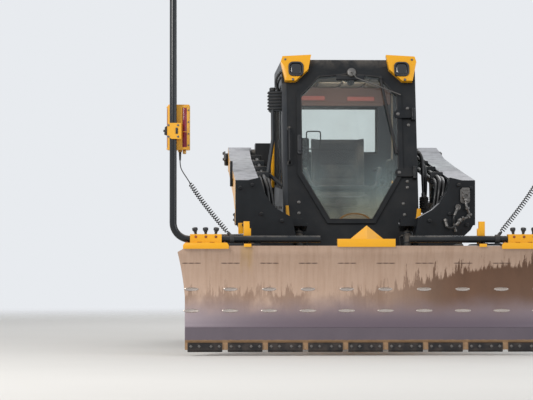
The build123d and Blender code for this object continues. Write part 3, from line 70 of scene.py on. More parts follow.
class Finish:
    """A node material whose patterns follow the object's own coordinates."""

    def __init__(self, name, roughness=0.5, metallic=0.0):
        self.made = bpy.data.materials.new(name)
        self.made.use_nodes = True
        self.tree = self.made.node_tree
        self.shader = self.tree.nodes["Principled BSDF"]
        self.shader.inputs["Roughness"].default_value = roughness
        self.shader.inputs["Metallic"].default_value = metallic
        self.place = self.node("TexCoord")

    def node(self, kind):
        """A new node."""
        return self.tree.nodes.new("ShaderNode" + kind)

    def link(self, value, socket):
        """Feed a socket from another socket, a number or a colour in 0 to 255."""
        if isinstance(value, bpy.types.NodeSocket):
            self.tree.links.new(value, socket)
        else:
            socket.default_value = colour(*value) if isinstance(value, tuple) and len(value) == 3 else value

    def blend(self, factor, first, second):
        """One shader over another."""
        made = self.node("MixShader")
        for value, socket in zip((factor, first, second), made.inputs):
            self.link(value, socket)
        return made.outputs[0]

    def surface(self, shader):
        """Use a shader as the material's surface."""
        self.link(shader, self.tree.nodes["Material Output"].inputs["Surface"])

    def flutes(self, direction, scale):
        """Parallel waves across one axis."""
        made = self.node("TexWave")
        made.bands_direction = direction
        made.inputs["Scale"].default_value = scale
        self.link(self.place.outputs["Object"], made.inputs["Vector"])
        return made.outputs["Fac"]

    def stretched(self, scale):
        """The object's coordinates, scaled along each axis."""
        mapping = self.node("Mapping")
        self.link(self.place.outputs["Object"], mapping.inputs["Vector"])
        mapping.inputs["Scale"].default_value = scale
        return mapping.outputs["Vector"]

    def axis(self, name, of="Object"):
        """One coordinate, or one part of the normal with of="Normal"."""
        split = self.node("SeparateXYZ")
        self.link(self.place.outputs[of], split.inputs[0])
        return split.outputs[name]

    def noise(self, scale, detail=4.0, roughness=0.55, stretch=(1, 1, 1)):
        """Fractal noise from 0 to 1."""
        made = self.node("TexNoise")
        self.link(self.stretched(stretch), made.inputs["Vector"])
        made.inputs["Scale"].default_value = scale
        made.inputs["Detail"].default_value = detail
        made.inputs["Roughness"].default_value = roughness
        return made.outputs["Fac"]

    def cells(self, scale):
        """Distance to the nearest of scattered points."""
        made = self.node("TexVoronoi")
        self.link(self.place.outputs["Object"], made.inputs["Vector"])
        made.inputs["Scale"].default_value = scale
        return made.outputs["Distance"]

    def band(self, value, low, high, bottom=0.0, top=1.0):
        """A value spread smoothly from one range to another."""
        made = self.node("MapRange")
        made.interpolation_type = "SMOOTHSTEP"
        self.link(value, made.inputs["Value"])
        for name, number in (("From Min", low), ("From Max", high), ("To Min", bottom), ("To Max", top)):
            made.inputs[name].default_value = number
        return made.outputs["Result"]

    def maths(self, operation, first, second=0.0):
        """One step of arithmetic."""
        made = self.node("Math")
        made.operation = operation
        self.link(first, made.inputs[0])
        self.link(second, made.inputs[1])
        return made.outputs[0]

    def mix(self, factor, first, second):
        """One colour over another."""
        made = self.node("Mix")
        made.data_type = "RGBA"
        self.link(factor, made.inputs[0])
        self.link(first, made.inputs[6])
        self.link(second, made.inputs[7])
        return made.outputs[2]

    def set(self, name, value):
        """Set one of the shader's sockets."""
        self.link(value, self.shader.inputs[name])

    def bump(self, height, strength, distance=0.002):
        """Raise the surface by a height."""
        made = self.node("Bump")
        made.inputs["Strength"].default_value = strength
        made.inputs["Distance"].default_value = distance
        self.link(height, made.inputs["Height"])
        self.link(made.outputs["Normal"], self.shader.inputs["Normal"])

    def dusty(self, base, amount, scale=9.0):
        """The base colour under dust that lies on what faces up and gathers low on the machine."""
        upward = self.band(self.axis("Z", "Normal"), 0.3, 1.0)
        low = self.band(self.axis("Z"), 0.75, 0.05)
        patches = self.band(self.noise(scale, 6, 0.62), 0.3, 0.72)
        laid = self.maths("MAXIMUM", self.maths("MULTIPLY", upward, 0.8), self.maths("MULTIPLY", low, 0.45))
        laid = self.maths("ADD", laid, 0.02)
        cover = self.maths("MULTIPLY", self.maths("MULTIPLY", laid, patches), amount)
        cover = self.maths("MINIMUM", cover, 0.92)
        self.set("Roughness", self.maths("ADD", self.shader.inputs["Roughness"].default_value,
            self.maths("MULTIPLY", cover, 0.4)))
        return self.mix(cover, base, DUST)


def painted(name, base, dark, roughness, dust, grain=0.06, specular=0.5):
    """Paint with an uneven tone, faint grain and dust."""
    made = Finish(name, roughness)
    made.shader.inputs["Specular IOR Level"].default_value = specular
    tone = made.mix(made.band(made.noise(2.3, 5), 0.3, 0.75), base, dark)
    made.set("Base Color", made.dusty(tone, dust))
    made.bump(made.noise(420, 3), grain, 0.0006)
    return made.made


def boom_paint():
    """Black textured paint, yellow on the outer sides, and pale grey on top that is partly dust and partly a
    painted reflection of the sky.
    """
    made = Finish("boom_paint", 0.32)
    made.shader.inputs["Specular IOR Level"].default_value = 0.3
    outward = made.maths("MULTIPLY", made.axis("X", "Normal"), made.axis("X"))
    outer = made.maths("MULTIPLY", made.band(outward, 0.5, 0.6), made.maths("GREATER_THAN",
        made.maths("ABSOLUTE", made.axis("X")), BEAM_OUTER_X - 0.004))
    tone = made.mix(made.band(made.noise(2.1, 5), 0.3, 0.75), YELLOW, (228, 160, 12))
    tone = made.mix(made.band(made.noise(5, 6, 0.6, (1, 1, 3)), 0.5, 0.75, 0, 0.3), tone, DUST)
    base = made.mix(made.band(made.noise(7, 5), 0.3, 0.8), BLACK, (26, 30, 34))
    base = made.mix(outer, base, tone)
    # Pale grey on upward faces: partly dust, partly a painted sky reflection on the glossy black.
    upward = made.band(made.axis("Z", "Normal"), 0.45, 0.95)
    dust = made.mix(made.noise(14, 6, 0.6, (2, 0.4, 1)), (214, 214, 218), (176, 176, 180))
    made.set("Base Color", made.mix(made.maths("MULTIPLY", upward, made.band(made.noise(9, 6), 0.2, 0.6, 0.55,
        0.9)), base, dust))
    made.set("Roughness", made.band(upward, 0, 1, 0.32, 0.75))
    made.bump(made.noise(300, 3), 0.12, 0.0008)
    return made.made


def blade_steel():
    """Soil-polished steel: smooth tan above, brown with an upright ragged edge, purple-grey below."""
    made = Finish("blade_steel", 0.42, 0.15)
    across, height = made.axis("X"), made.axis("Z")
    fine = made.noise(34, 6, 0.65, (1, 0.2, 0.05))
    tan = made.mix(made.noise(2.4, 5), (196, 170, 152), (170, 142, 122))
    tan = made.mix(made.band(fine, 0.4, 0.7, 0, 0.3), tan, (148, 116, 92))
    brown = made.mix(made.noise(7, 6, 0.6, (1, 1, 0.4)), (116, 84, 64), (84, 60, 44))
    purple = made.mix(made.noise(5, 5, 0.6, (1, 1, 0.3)), (134, 118, 120), (112, 98, 104))
    purple = made.mix(made.band(height, 0.34, 0.2), purple, (96, 84, 94))
    spikes = made.maths("MULTIPLY", made.band(made.noise(26, 7, 0.75, (1, 0.2, 0.08)), 0.42, 0.78), 0.2)
    rise = made.maths("ADD", made.band(across, RISE_X[0], RISE_X[1], 0.4, 0.6), spikes)
    under = made.band(made.maths("SUBTRACT", height, rise), 0.008, -0.012)
    patches = made.band(made.noise(5.5, 6, 0.65, (1, 1, 0.5)), 0.35, 0.6)
    depth = made.maths("MAXIMUM", made.band(across, -0.3, 0.7), made.maths("MULTIPLY", patches, 0.55))
    steel = made.mix(made.maths("MULTIPLY", under, depth), tan, brown)
    waves = made.maths("MULTIPLY", made.maths("SUBTRACT", made.noise(3.1, 4), 0.5), 0.14)
    steel = made.mix(made.band(made.maths("ADD", height, waves), 0.42, 0.26), steel, purple)
    for low, high, foot, top, tint, share in STAINS:
        beside = made.maths("MULTIPLY", made.band(across, low, low + 0.03),
            made.band(across, high, high - 0.03))
        shown = made.maths("MULTIPLY", beside, made.band(made.maths("ADD", height, spikes), foot, top))
        steel = made.mix(made.maths("MULTIPLY", shown, share), steel, tint)
    made.set("Base Color", steel)
    made.set("Roughness", made.band(height, 0.2, 0.6, 0.36, 0.5))
    made.bump(made.noise(120, 5, 0.6, (1, 1, 0.2)), 0.2, 0.001)
    return made.made


def segment_steel():
    """Purple plate with a tan lip over the bolted segments, their recesses darkened to near black as painted
    shade, and tan posts between them.
    """
    made = Finish("segment_steel", 0.45, 0.2)
    height = made.axis("Z")
    share = made.maths("FRACT", made.maths("DIVIDE", made.maths("ADD", made.axis("X"), EDGE_HALF), SEGMENT))
    aside = made.maths("MULTIPLY", made.maths("MINIMUM", share, made.maths("SUBTRACT", 1.0, share)), SEGMENT)
    post = made.band(aside, 0.0195, 0.0165)
    earth = made.mix(made.noise(30, 6), (178, 146, 112), (134, 104, 76))
    # Painted shade: the near-black colour of the recesses below the lip, between the posts.
    dark = made.mix(made.band(made.noise(18, 6), 0.35, 0.75), (24, 22, 24), (62, 54, 50))
    plate = made.mix(made.noise(6, 5, 0.6, (1, 1, 0.4)), (98, 88, 96), (80, 72, 80))
    lip = made.band(made.maths("ADD", height, made.maths("MULTIPLY", made.noise(40, 4), 0.008)), 0.114, 0.108)
    tone = made.mix(lip, plate, earth)
    below = made.maths("MULTIPLY", made.band(height, 0.092, 0.088), made.maths("SUBTRACT", 1.0, post))
    made.set("Base Color", made.mix(below, tone, dark))
    made.bump(made.noise(90, 5), 0.3, 0.001)
    return made.made


def metal(name, tone, roughness, scratch):
    """Bright metal with fine marks along its length."""
    made = Finish(name, roughness, 1.0)
    made.set("Base Color", made.mix(made.noise(30, 4), tone, shade(tone, 0.72)))
    made.set("Roughness", made.band(made.noise(60, 5), 0.3, 0.7, roughness * 0.8, roughness * 1.4))
    made.bump(made.noise(260, 3), scratch, 0.0004)
    return made.made


def moulded(name, tone, roughness, grain_scale=900, grain=0.25, dust=0.3):
    """Moulded plastic or rubber with a leathery grain."""
    made = Finish(name, roughness)
    base = made.mix(made.noise(6, 4), tone, shade(tone, 0.8))
    made.set("Base Color", made.dusty(base, dust))
    made.bump(made.cells(grain_scale), grain, 0.0005)
    return made.made


def track_rubber():
    """Worn rubber, with soil in its low places."""
    made = Finish("track_rubber", 0.78)
    base = made.mix(made.noise(12, 6), (38, 36, 35), (58, 53, 49))
    soil = made.band(made.noise(7, 7, 0.7), 0.42, 0.66)
    made.set("Base Color", made.mix(made.maths("MULTIPLY", soil, 0.75), base, (142, 116, 88)))
    made.bump(made.noise(90, 6), 0.5, 0.002)
    return made.made


def pane():
    """Thin glass that lets lamps through, with a film of dust in its corners."""
    made = Finish("glass", 0.02)
    return glazed(made, (234, 239, 237), made.band(made.noise(3, 6), 0.35, 0.8, 0.0, 0.06), DUST)


def door_pane():
    """Front glass: clear above, a teal dusty film that thickens downwards, and a brown arc at its foot."""
    made = Finish("door_glass", 0.02)
    across, height = made.axis("X"), made.axis("Z")
    wipe = made.noise(4, 6, 0.6, (1, 1, 0.5))
    amount = made.maths("MULTIPLY", made.band(height, 1.45, 0.95, 0.02, 0.5),
        made.band(wipe, 0.3, 0.7, 0.15, 1.0))
    film = made.mix(made.band(height, 1.25, 0.95), (150, 170, 172), (158, 160, 140))
    wide = made.maths("DIVIDE", made.maths("SUBTRACT", across, ARC_AT[0]), ARC_AT[2])
    tall = made.maths("DIVIDE", made.maths("SUBTRACT", height, ARC_AT[1]), ARC_AT[3])
    reach = made.maths("SQRT", made.maths("ADD", made.maths("MULTIPLY", wide, wide),
        made.maths("MULTIPLY", tall, tall)))
    ring = made.band(made.maths("ABSOLUTE", made.maths("SUBTRACT", reach, 1.0)), 0.14, 0.05)
    inner = made.band(reach, 1.0, 0.8, 0.0, 0.55)
    film = made.mix(made.maths("MAXIMUM", ring, inner), film, (112, 82, 44))
    return glazed(made, (228, 234, 232), made.maths("MAXIMUM", amount, made.maths("MAXIMUM", ring, inner)),
        film)


def glazed(made, tint, amount, tone):
    """Turn a finish into glass under a film, clear to shadow rays."""
    made.set("Base Color", tint)
    made.set("Transmission Weight", 1.0)
    made.set("IOR", 1.45)
    film = made.node("BsdfPrincipled")
    film.inputs["Roughness"].default_value = 0.9
    made.link(tone, film.inputs["Base Color"])
    dusted = made.blend(amount, made.shader.outputs[0], film.outputs[0])
    clear = made.node("BsdfTransparent")
    made.link(tint, clear.inputs["Color"])
    shadow = made.node("LightPath").outputs["Is Shadow Ray"]
    made.surface(made.blend(shadow, dusted, clear.outputs[0]))
    return made.made


def woven(name, tone):
    """Seat cloth: a fine basket weave."""
    made = Finish(name, 0.9)
    weave = made.maths("MULTIPLY", made.flutes("X", 150), made.flutes("Z", 150))
    base = made.mix(weave, shade(tone, 0.6), tone)
    made.set("Base Color", made.mix(made.band(made.noise(5, 5), 0.4, 0.8, 0, 0.3), base, DUST))
    made.set("Sheen Weight", 0.3)
    made.bump(weave, 0.4, 0.0008)
    return made.made


# Measures taken from the CAD frame
BOOM_LOW, BOOM_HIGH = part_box("boom_arm_left")
BEAM_OUTER_X = BOOM_HIGH.x
EDGE_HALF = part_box("cutting_edge")[1].x
SEGMENT = 2 * EDGE_HALF / 9
RISE_X = (-0.1, 1.0)
STAINS = ((-0.86, -0.75, 0.54, 0.76, (176, 140, 70), 0.5),)
ARC_AT = (0.026, 0.925, 0.115, 0.066)
SPROCKET = Vector((0, 1.19, 0.61))
ARM_PIVOT, LIFT_BASE, LIFT_EYE = (1.5, 1.48), (1.42, 0.98), (0.38, 1.148)
TOOL_PIN, TILT_BASE, TILT_EYE = (-1.04, 0.27), (-0.8, 0.9), (-1.04, 0.47)
LIFT_X, TILT_X = 0.755, 0.396
KINGPIN_Y = -1.48
ANGLE_BASE, ANGLE_EYE = (0.39, -1.19, 0.4), (0.215, -1.58, 0.4)
CAB_LEAN = math.radians(14)
CAB_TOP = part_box("cab_roof")[1].z
CAB_FRONT_Y = -0.34


# Shapes
class Shape:
    """Gathers small solids into one mesh."""

    def __init__(self):
        self.mesh = bmesh.new()

    def ring(self, centre, across, up, radius, sides, phase=0.0):
        """Vertices round a circle."""
        made = []
        for i in range(sides):
            angle = math.tau * (i + phase) / sides
            made.append(self.mesh.verts.new(centre + across * math.cos(angle) * radius + up * math.sin(angle)
                * radius))
        return made

    def skin(self, rings, closed=False):
        """Faces between rings of vertices, with caps unless the loop is closed."""
        pairs = list(zip(rings, rings[1:]))
        if closed:
            pairs.append((rings[-1], rings[0]))
        for first, second in pairs:
            count = len(first)
            for i in range(count):
                j = (i + 1) % count
                self.mesh.faces.new((first[i], first[j], second[j], second[i]))
        if not closed:
            self.mesh.faces.new(tuple(reversed(rings[0])))
            self.mesh.faces.new(tuple(rings[-1]))

    def turned(self, start, axis, profile, sides=24, phase=0.0):
        """A solid of revolution: (distance along the axis, radius) from end to end."""
        start, axis = Vector(start), Vector(axis).normalized()
        across = axis.orthogonal().normalized()
        up = axis.cross(across)
        self.skin([self.ring(start + axis * along, across, up, max(radius, 1e-5), sides, phase)
            for along, radius in profile])

    def rod(self, start, end, radius, sides=20):
        """A round bar with slightly broken ends."""
        start, end = Vector(start), Vector(end)
        length = (end - start).length
        edge = min(radius * 0.15, length * 0.2)
        self.turned(start, end - start, ((0, radius - edge), (edge, radius), (length - edge, radius),
            (length, radius - edge)), sides)

    def bolt(self, at, axis, size):
        """A flanged hexagon head of the given width across, standing on a surface."""
        r = size / 2
        self.turned(at, axis, ((-0.3 * r, r * 1.25), (0.14 * r, r * 1.25), (0.22 * r, r * 1.1)), 20)
        self.turned(at, axis, ((0.2 * r, r * 1.1), (0.82 * r, r * 1.1), (1.0 * r, r * 0.86)), 6)

    def bolts(self, spots, axis, size):
        """The same bolt at several places."""
        for at in spots:
            self.bolt(at, axis, size)

    def nipple(self, at, axis, reach=0.012):
        """A grease nipple."""
        self.turned(at, axis, ((0, 0.006), (0.004, 0.0045), (reach, 0.0045), (reach + 0.003, 0.003)), 12)

    def box(self, low, high, edge=0.0, turn=None):
        """A box, moved by a matrix if one is given, with chamfered edges."""
        low, high = Vector(low), Vector(high)
        place = Matrix.Translation((low + high) / 2) @ Matrix.Diagonal((*(high - low), 1))
        made = bmesh.ops.create_cube(self.mesh, size=1, matrix=place)
        if edge:
            lines = {line for vert in made["verts"] for line in vert.link_edges}
            made = bmesh.ops.bevel(self.mesh, geom=list(lines), offset=edge, segments=2, affect="EDGES",
                profile=0.5)
        if turn is not None:
            bmesh.ops.transform(self.mesh, matrix=turn, verts=made["verts"])
        return made["verts"]

    def prism(self, outline, origin, across, up, depth, edge=0.0):
        """A plate: the outline in the plane of across and up, pushed out by the depth."""
        origin, across, up = Vector(origin), Vector(across), Vector(up)
        out = across.cross(up).normalized() * depth
        loops = [[self.mesh.verts.new(origin + across * a + up * b + step) for a, b in outline]
            for step in (Vector((0, 0, 0)), out)]
        self.skin(loops)
        if edge:
            lines = {line for vert in loops[1] for line in vert.link_edges}
            bmesh.ops.bevel(self.mesh, geom=list(lines), offset=edge, segments=2, affect="EDGES", profile=0.5)

    def pad(self, size, *place):
        """A plate with round corners: width, height and corner radius, then as for a prism."""
        self.prism(rounded(*size), *place)

    def tube(self, points, radius, sides=14):
        """A tube along points, its rings carried along without twist."""
        points = [Vector(p) for p in points]
        ways = [(b - a).normalized() for a, b in zip(points, points[1:])]
        across = ways[0].orthogonal().normalized()
        rings = []
        for i, point in enumerate(points):
            way = (ways[max(i - 1, 0)] + ways[min(i, len(ways) - 1)]).normalized()
            across = (across - way * across.dot(way)).normalized()
            rings.append(self.ring(point, across, way.cross(across), radius, sides))
        self.skin(rings)

    def ball(self, centre, radius, squash=(1, 1, 1)):
        """A ball, or an ellipsoid."""
        place = Matrix.Translation(centre) @ Matrix.Diagonal((*squash, 1))
        bmesh.ops.create_uvsphere(self.mesh, u_segments=20, v_segments=12, radius=radius, matrix=place)


def placed(name, data):
    """A new object in the scene."""
    made = bpy.data.objects.new(name, data)
    bpy.context.scene.collection.objects.link(made)
    return made


def as_object(name, shape):
    """Turn a shape into an object."""
    bmesh.ops.recalc_face_normals(shape.mesh, faces=shape.mesh.faces)
    mesh = bpy.data.meshes.new(name)
    shape.mesh.to_mesh(mesh)
    shape.mesh.free()
    return placed(name, mesh)


def piece(name, shape, material, body="chassis", bevel=0.0, angle=35):
    """Finish a shape as a piece in the given material that rides on a body."""
    made = as_object(name, shape)
    made.data.materials.append(material)
    made.data.shade_smooth()
    made.data.set_sharp_from_angle(angle=math.radians(angle))
    if bevel:
        soften(made, bevel)
    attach(made, body)
    return made


def soften(made, width):
    """Round the sharp edges a little."""
    rounding = made.modifiers.new("soften", "BEVEL")
    rounding.width = width
    rounding.segments = 2
    rounding.limit_method = "ANGLE"
    rounding.angle_limit = math.radians(32)


def smooth_line(points):
    """The points of the smooth curve that a route's points control."""
    curve = bpy.data.curves.new("route", "CURVE")
    curve.dimensions = "3D"
    spline(curve, points)
    holder = bpy.data.objects.new("route", curve)
    line = bpy.data.meshes.new_from_object(holder)
    found = [vert.co.copy() for vert in line.vertices]
    bpy.data.meshes.remove(line)
    bpy.data.objects.remove(holder)
    bpy.data.curves.remove(curve)
    return found


def spline(curve, points):
    """One open NURBS spline through the first and last of its control points."""
    line = curve.splines.new("NURBS")
    line.points.add(len(points) - 1)
    for knot, point in zip(line.points, points):
        knot.co = (*point, 1)
    line.order_u = 3
    line.use_endpoint_u = True
    line.resolution_u = 8


def cord_curve(name, points, radius, body, material):
    """A cord as a round curve object."""
    curve = bpy.data.curves.new(name, "CURVE")
    curve.dimensions = "3D"
    curve.bevel_depth = radius
    curve.bevel_resolution = 4
    curve.use_fill_caps = True
    spline(curve, points)
    made = placed(name, curve)
    curve.materials.append(material)
    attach(made, body)
    return made


def flip(points, side):
    """A left-hand route on the given side."""
    return [Vector((side * x, y, z)) for x, y, z in points]


def on_front(x, z, lift=0.0):
    """A point on the cab's leaning front, lifted off it."""
    y = CAB_FRONT_Y + (z - CAB_TOP) * math.tan(CAB_LEAN)
    return Vector((x, y, z)) + CAB_OUT * lift


CAB_OUT = Vector((0, -math.cos(CAB_LEAN), math.sin(CAB_LEAN)))
CAB_UP = Vector((0, math.sin(CAB_LEAN), math.cos(CAB_LEAN)))
CAB_TURN = Matrix.Rotation(-CAB_LEAN, 4, "X")

# Materials of the CAD nodes
yellow = painted("yellow_paint", YELLOW, (234, 168, 12), 0.34, 0.75)
black = painted("black_paint", BLACK, (22, 26, 30), 0.4, 0.8, 0.1, 0.25)
textured = painted("textured_black", (18, 21, 25), (28, 32, 37), 0.5, 0.6, 0.3, 0.25)
grey = painted("grey_paint", (36, 40, 45), (48, 52, 57), 0.45, 0.8, 0.1, 0.3)
iron = painted("engine_iron", (74, 74, 72), (54, 52, 50), 0.7, 0.5, 0.5)
wheel_steel = painted("wheel_steel", (34, 35, 37), (66, 60, 54), 0.6, 1.1, 0.3)
steel = blade_steel()
edge_steel = segment_steel()
chrome = metal("chrome_rod", (226, 228, 232), 0.1, 0.02)
bolt_steel = metal("bolt_steel", (120, 118, 116), 0.45, 0.2)
rubber = track_rubber()
hose_rubber = moulded("hose_rubber", (22, 23, 25), 0.38, 1200, 0.1, 0.2)
soft_black = moulded("soft_black", (34, 35, 37), 0.62)
boot_rubber = moulded("boot_rubber", (26, 26, 28), 0.7)
control = moulded("control_plastic", (40, 40, 42), 0.55)
lining = moulded("headliner_plastic", (152, 138, 116), 0.8, 1400, 0.35, 0.1)
mast_paint = painted("mast_paint", (14, 18, 22), (22, 27, 32), 0.25, 0.3, 0.015, 0.4)
receiver_yellow = moulded("receiver_plastic", (236, 172, 44), 0.36, 700, 0.05, 0.4)
window_red = moulded("receiver_window", (128, 18, 44), 0.16, 300, 0.0, 0.0)
knob_black = moulded("knob_plastic", (34, 36, 41), 0.45, 600, 0.2, 0.4)
seat_cloth = woven("seat_fabric", (44, 44, 47))
glass = pane()
front_glass = door_pane()
boom_finish = boom_paint()

SLOT_FINISH = {"yellow_paint": yellow, "black_paint": black, "grey_paint": grey, "track_rubber": rubber,
    "wheel_steel": wheel_steel, "engine_iron": iron, "worn_steel": steel, "edge_steel": edge_steel,
    "chrome_rod": chrome, "glass": glass, "headliner_plastic": lining, "control_plastic": control,
    "seat_fabric": seat_cloth, "mast_paint": mast_paint, "receiver_plastic": receiver_yellow,
    "knob_plastic": knob_black, "cord_rubber": soft_black, "lamp_lens": control,}
NO_BEVEL = ("track_left", "track_right", "cab_windows", "front_door_glass")
for part in frame["record"]["subparts"]:
    name = part["node"]
    finish = SLOT_FINISH[part["material_slot"]]
    if name.startswith("boom_arm"):
        finish = boom_finish
    if name == "front_door_glass":
        finish = front_glass
    if name == "boom_towers":
        finish = black
    for place in nodes[name].material_slots:
        place.material = finish

# Cords: a lead from the receiver, then a curly cord down to its clip on the mast
CORD_R = 0.0035
COIL_R = 0.0145
COIL_TURNS = 25
TURN_POINTS = 14
LEAD = ((1.258, -1.826, 1.330), (1.258, -1.826, 1.289), (1.239, -1.831, 1.249), (1.214, -1.837, 1.2123))
COIL = ((1.192, -1.842, 1.178), (1.135, -1.855, 1.089), (1.069, -1.871, 1.002), (1.001, -1.889, 0.918),
    (0.932, -1.908, 0.836))


def helix(route, radius, turns):
    """Points of a helix round a smooth route, drawn in at both ends."""
    line = smooth_line(route)
    steps = [0.0]
    for a, b in zip(line, line[1:]):
        steps.append(steps[-1] + (b - a).length)
    found = []
    across = (line[1] - line[0]).orthogonal().normalized()
    count = turns * TURN_POINTS
    i = 0
    for k in range(count + 1):
        s = steps[-1] * k / count
        while i < len(steps) - 2 and steps[i + 1] < s:
            i += 1
        way = (line[i + 1] - line[i]).normalized()
        point = line[i] + way * (s - steps[i])
        across = (across - way * across.dot(way)).normalized()
        ends = min(1, k / TURN_POINTS, (count - k) / TURN_POINTS)
        angle = math.tau * k / TURN_POINTS
        found.append(point + (across * math.cos(angle) + way.cross(across) * math.sin(angle)) * radius * ends)
    return found


for side, hand in SIDES:
    coil = helix(flip(COIL, side), COIL_R / math.cos(math.pi / TURN_POINTS), COIL_TURNS)
    cord = cord_curve(f"curly_cord_{hand}", flip(LEAD, side) + coil, CORD_R, f"mast_{hand}", soft_black)
    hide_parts(f"cord_lead_{hand}", f"cord_coil_{hand}")


# Outlines and lines for the small pieces
def circle(count, wide, tall=None, phase=0.0):
    """Points round a circle, or round an ellipse with its own half height."""
    tall = wide if tall is None else tall
    turns = [math.tau * (i + phase) / count for i in range(count)]
    return [(wide * math.cos(turn), tall * math.sin(turn)) for turn in turns]


def rounded(width, height, radius, steps=5):
    """Outline of a rectangle with round corners, about the origin."""
    found = []
    for i, (right, up) in enumerate(((1, 1), (-1, 1), (-1, -1), (1, -1))):
        for k in range(steps + 1):
            angle = math.pi / 2 * (i + k / steps)
            found.append((right * (width / 2 - radius) + radius * math.cos(angle),
                up * (height / 2 - radius) + radius * math.sin(angle)))
    return found


def inset(outline, distance):
    """A convex outline that runs anticlockwise, drawn in by a distance."""
    found = []
    for i, corner in enumerate(outline):
        before, corner, after = Vector(outline[i - 1]), Vector(corner), Vector(
            outline[(i + 1) % len(outline)])
        first, second = (corner - before).normalized(), (after - corner).normalized()
        found.append(corner + (first + second).orthogonal() * distance / (1 + first.dot(second)))
    return found


def surround(shape, outer, inner, place, low, high):
    """A flat ring between two outlines with as many corners, from one height to another."""
    origin, across, up = place
    out = across.cross(up)
    rings = []
    for near, far in zip(outer, inner):
        corners = [origin + across * a + up * b for a, b in (near, far)]
        rings.append([shape.mesh.verts.new(at) for at in (corners[0] + out * low, corners[0] + out * high,
            corners[1] + out * high, corners[1] + out * low)])
    shape.skin(rings, closed=True)


def dome(shape, outline, place, profile):
    """A cap built of one outline at several (height, scale) steps about the place's origin."""
    origin, across, up = place
    out = across.cross(up)
    shape.skin([[shape.mesh.verts.new(origin + across * a * scale + up * b * scale + out * height)
        for a, b in outline] for height, scale in profile])


def eased(points, reach):
    """A line whose corners are rounded from a distance before each to as far behind it."""
    points = [Vector(point) for point in points]
    found = [points[0]]
    for before, corner, after in zip(points, points[1:], points[2:]):
        step = min(reach, 0.45 * (corner - before).length, 0.45 * (after - corner).length)
        start = corner + (before - corner).normalized() * step
        end = corner + (after - corner).normalized() * step
        for k in range(7):
            t = k / 6
            found.append(start * (1 - t) ** 2 + corner * 2 * t * (1 - t) + end * t * t)
    return found + [points[-1]]


def nut(shape, at, way, size, length):
    """A hexagon nut with round shoulders, along a line."""
    shape.turned(at, way, ((0, size * 0.5), (0.1 * length, size * 0.58), (0.9 * length, size * 0.58),
        (length, size * 0.5)), 6)


def hose(shape, ends, points, radius):
    """A hose with a crimped collar and a nut at each end, along smooth points."""
    line = smooth_line(points)
    shape.tube(line, radius)
    for at, towards in ((line[0], line[3]), (line[-1], line[-4])):
        way = (towards - at).normalized()
        ends.turned(at - way * 0.004, way, ((0, radius * 1.15), (0.006, radius * 1.32),
            (0.034, radius * 1.32), (0.04, radius * 1.1)), 16)
        nut(ends, at - way * 0.024, way, radius * 2.9, 0.02)


def up_front(z):
    """How far up the cab's leaning front a height is, from the roof's edge."""
    return (z - CAB_TOP) / math.cos(CAB_LEAN)


def on_plate(x, z, lift=0.0):
    """A point on the front of the boom's knees."""
    return Vector((x, BOOM_LOW.y - lift, z))


X, Y, Z = Vector((1, 0, 0)), Vector((0, 1, 0)), Vector((0, 0, 1))
FRONT = (Vector((0, CAB_FRONT_Y, CAB_TOP)), X, CAB_UP)
rust = painted("rusty_bolts", (150, 72, 44), (104, 52, 34), 0.7, 0.6, 0.4)
brass = metal("brass", (196, 152, 84), 0.35, 0.2)
trim_plastic = moulded("interior_trim", (140, 124, 106), 0.75, 1100, 0.3, 0.15)
header_plastic = moulded("header_trim", (120, 92, 82), 0.7, 1100, 0.3, 0.1)
strip_plastic = moulded("header_strip", (190, 110, 98), 0.6, 900, 0.1, 0.1)
lamp_red = moulded("tail_lens", (150, 22, 22), 0.15, 400, 0.0, 0.1)
lamp_clear = moulded("clear_lens", (196, 198, 196), 0.12, 400, 0.0, 0.1)


def fluted(name, tone):
    """Dark lamp glass with upright flutes."""
    made = Finish(name, 0.16)
    made.set("Base Color", made.mix(made.noise(4, 3), tone, shade(tone, 1.6)))
    made.bump(made.flutes("X", 26), 0.2, 0.002)
    made.shader.inputs["Coat Weight"].default_value = 0.3
    return made.made


lens_glass = fluted("lamp_glass", (22, 25, 29))
weld_bead = painted("weld_beads", (86, 64, 52), (60, 46, 40), 0.6, 0.3, 0.3)
weld_steel = metal("weld_steel", (196, 184, 176), 0.28, 0.1)

# Front door: gasket, wiper and its motor, hinge bolts and latch
DOOR = [(x, up_front(z)) for x, z in ((0.175, 0.915), (0.39, 1.28), (0.39, 1.885), (0.235, 2.045), (0, 2.068),
    (-0.235, 2.045), (-0.39, 1.885), (-0.39, 1.28), (-0.175, 0.915))]
gasket = Shape()
surround(gasket, inset(DOOR, 0.027), inset(DOOR, 0.036), FRONT, 0.0105, 0.0192)
piece("door_gasket", gasket, boot_rubber, "front_door", bevel=0.002)

WIPER_PIVOT, WIPER_TOP, WIPER_FOOT = (0.022, 2.045), (0.236, 2.0), (0.342, 1.44)
wiper = Shape()
wiper.turned(on_front(*WIPER_PIVOT, 0.016), CAB_OUT, ((0, 0.036), (0.014, 0.035), (0.02, 0.03),
    (0.024, 0.012)), 32)
wiper.rod(on_front(*WIPER_PIVOT, 0.03), on_front(*WIPER_PIVOT, 0.052), 0.009)
arm = [on_front(*WIPER_PIVOT, 0.046), on_front(0.056, 1.998, 0.046), on_front(0.384, 1.87, 0.042)]
wiper.tube(arm, 0.0045)
piece("wiper_arm", wiper, bolt_steel, "front_door", bevel=0.0008)
blade = Shape()
top, foot = on_front(*WIPER_TOP, 0.034), on_front(*WIPER_FOOT, 0.034)
run = foot - top
blade.tube([top - run * 0.02, top + run * 0.5 + CAB_OUT * 0.006, foot + run * 0.02], 0.0105)
blade.rod(top - CAB_OUT * 0.006, top + CAB_OUT * 0.02, 0.012)
for i in range(6):
    near = top + run * (i + 0.5) / 6
    for k in (-1, 1):
        blade.tube([near, near + run * (k * 0.05) - CAB_OUT * 0.012], 0.0032, 8)
blade.tube([top - CAB_OUT * 0.018, foot - CAB_OUT * 0.018], 0.0045, 8)
piece("wiper_blade", blade, boot_rubber, "front_door", bevel=0.0006)
motor = Shape()
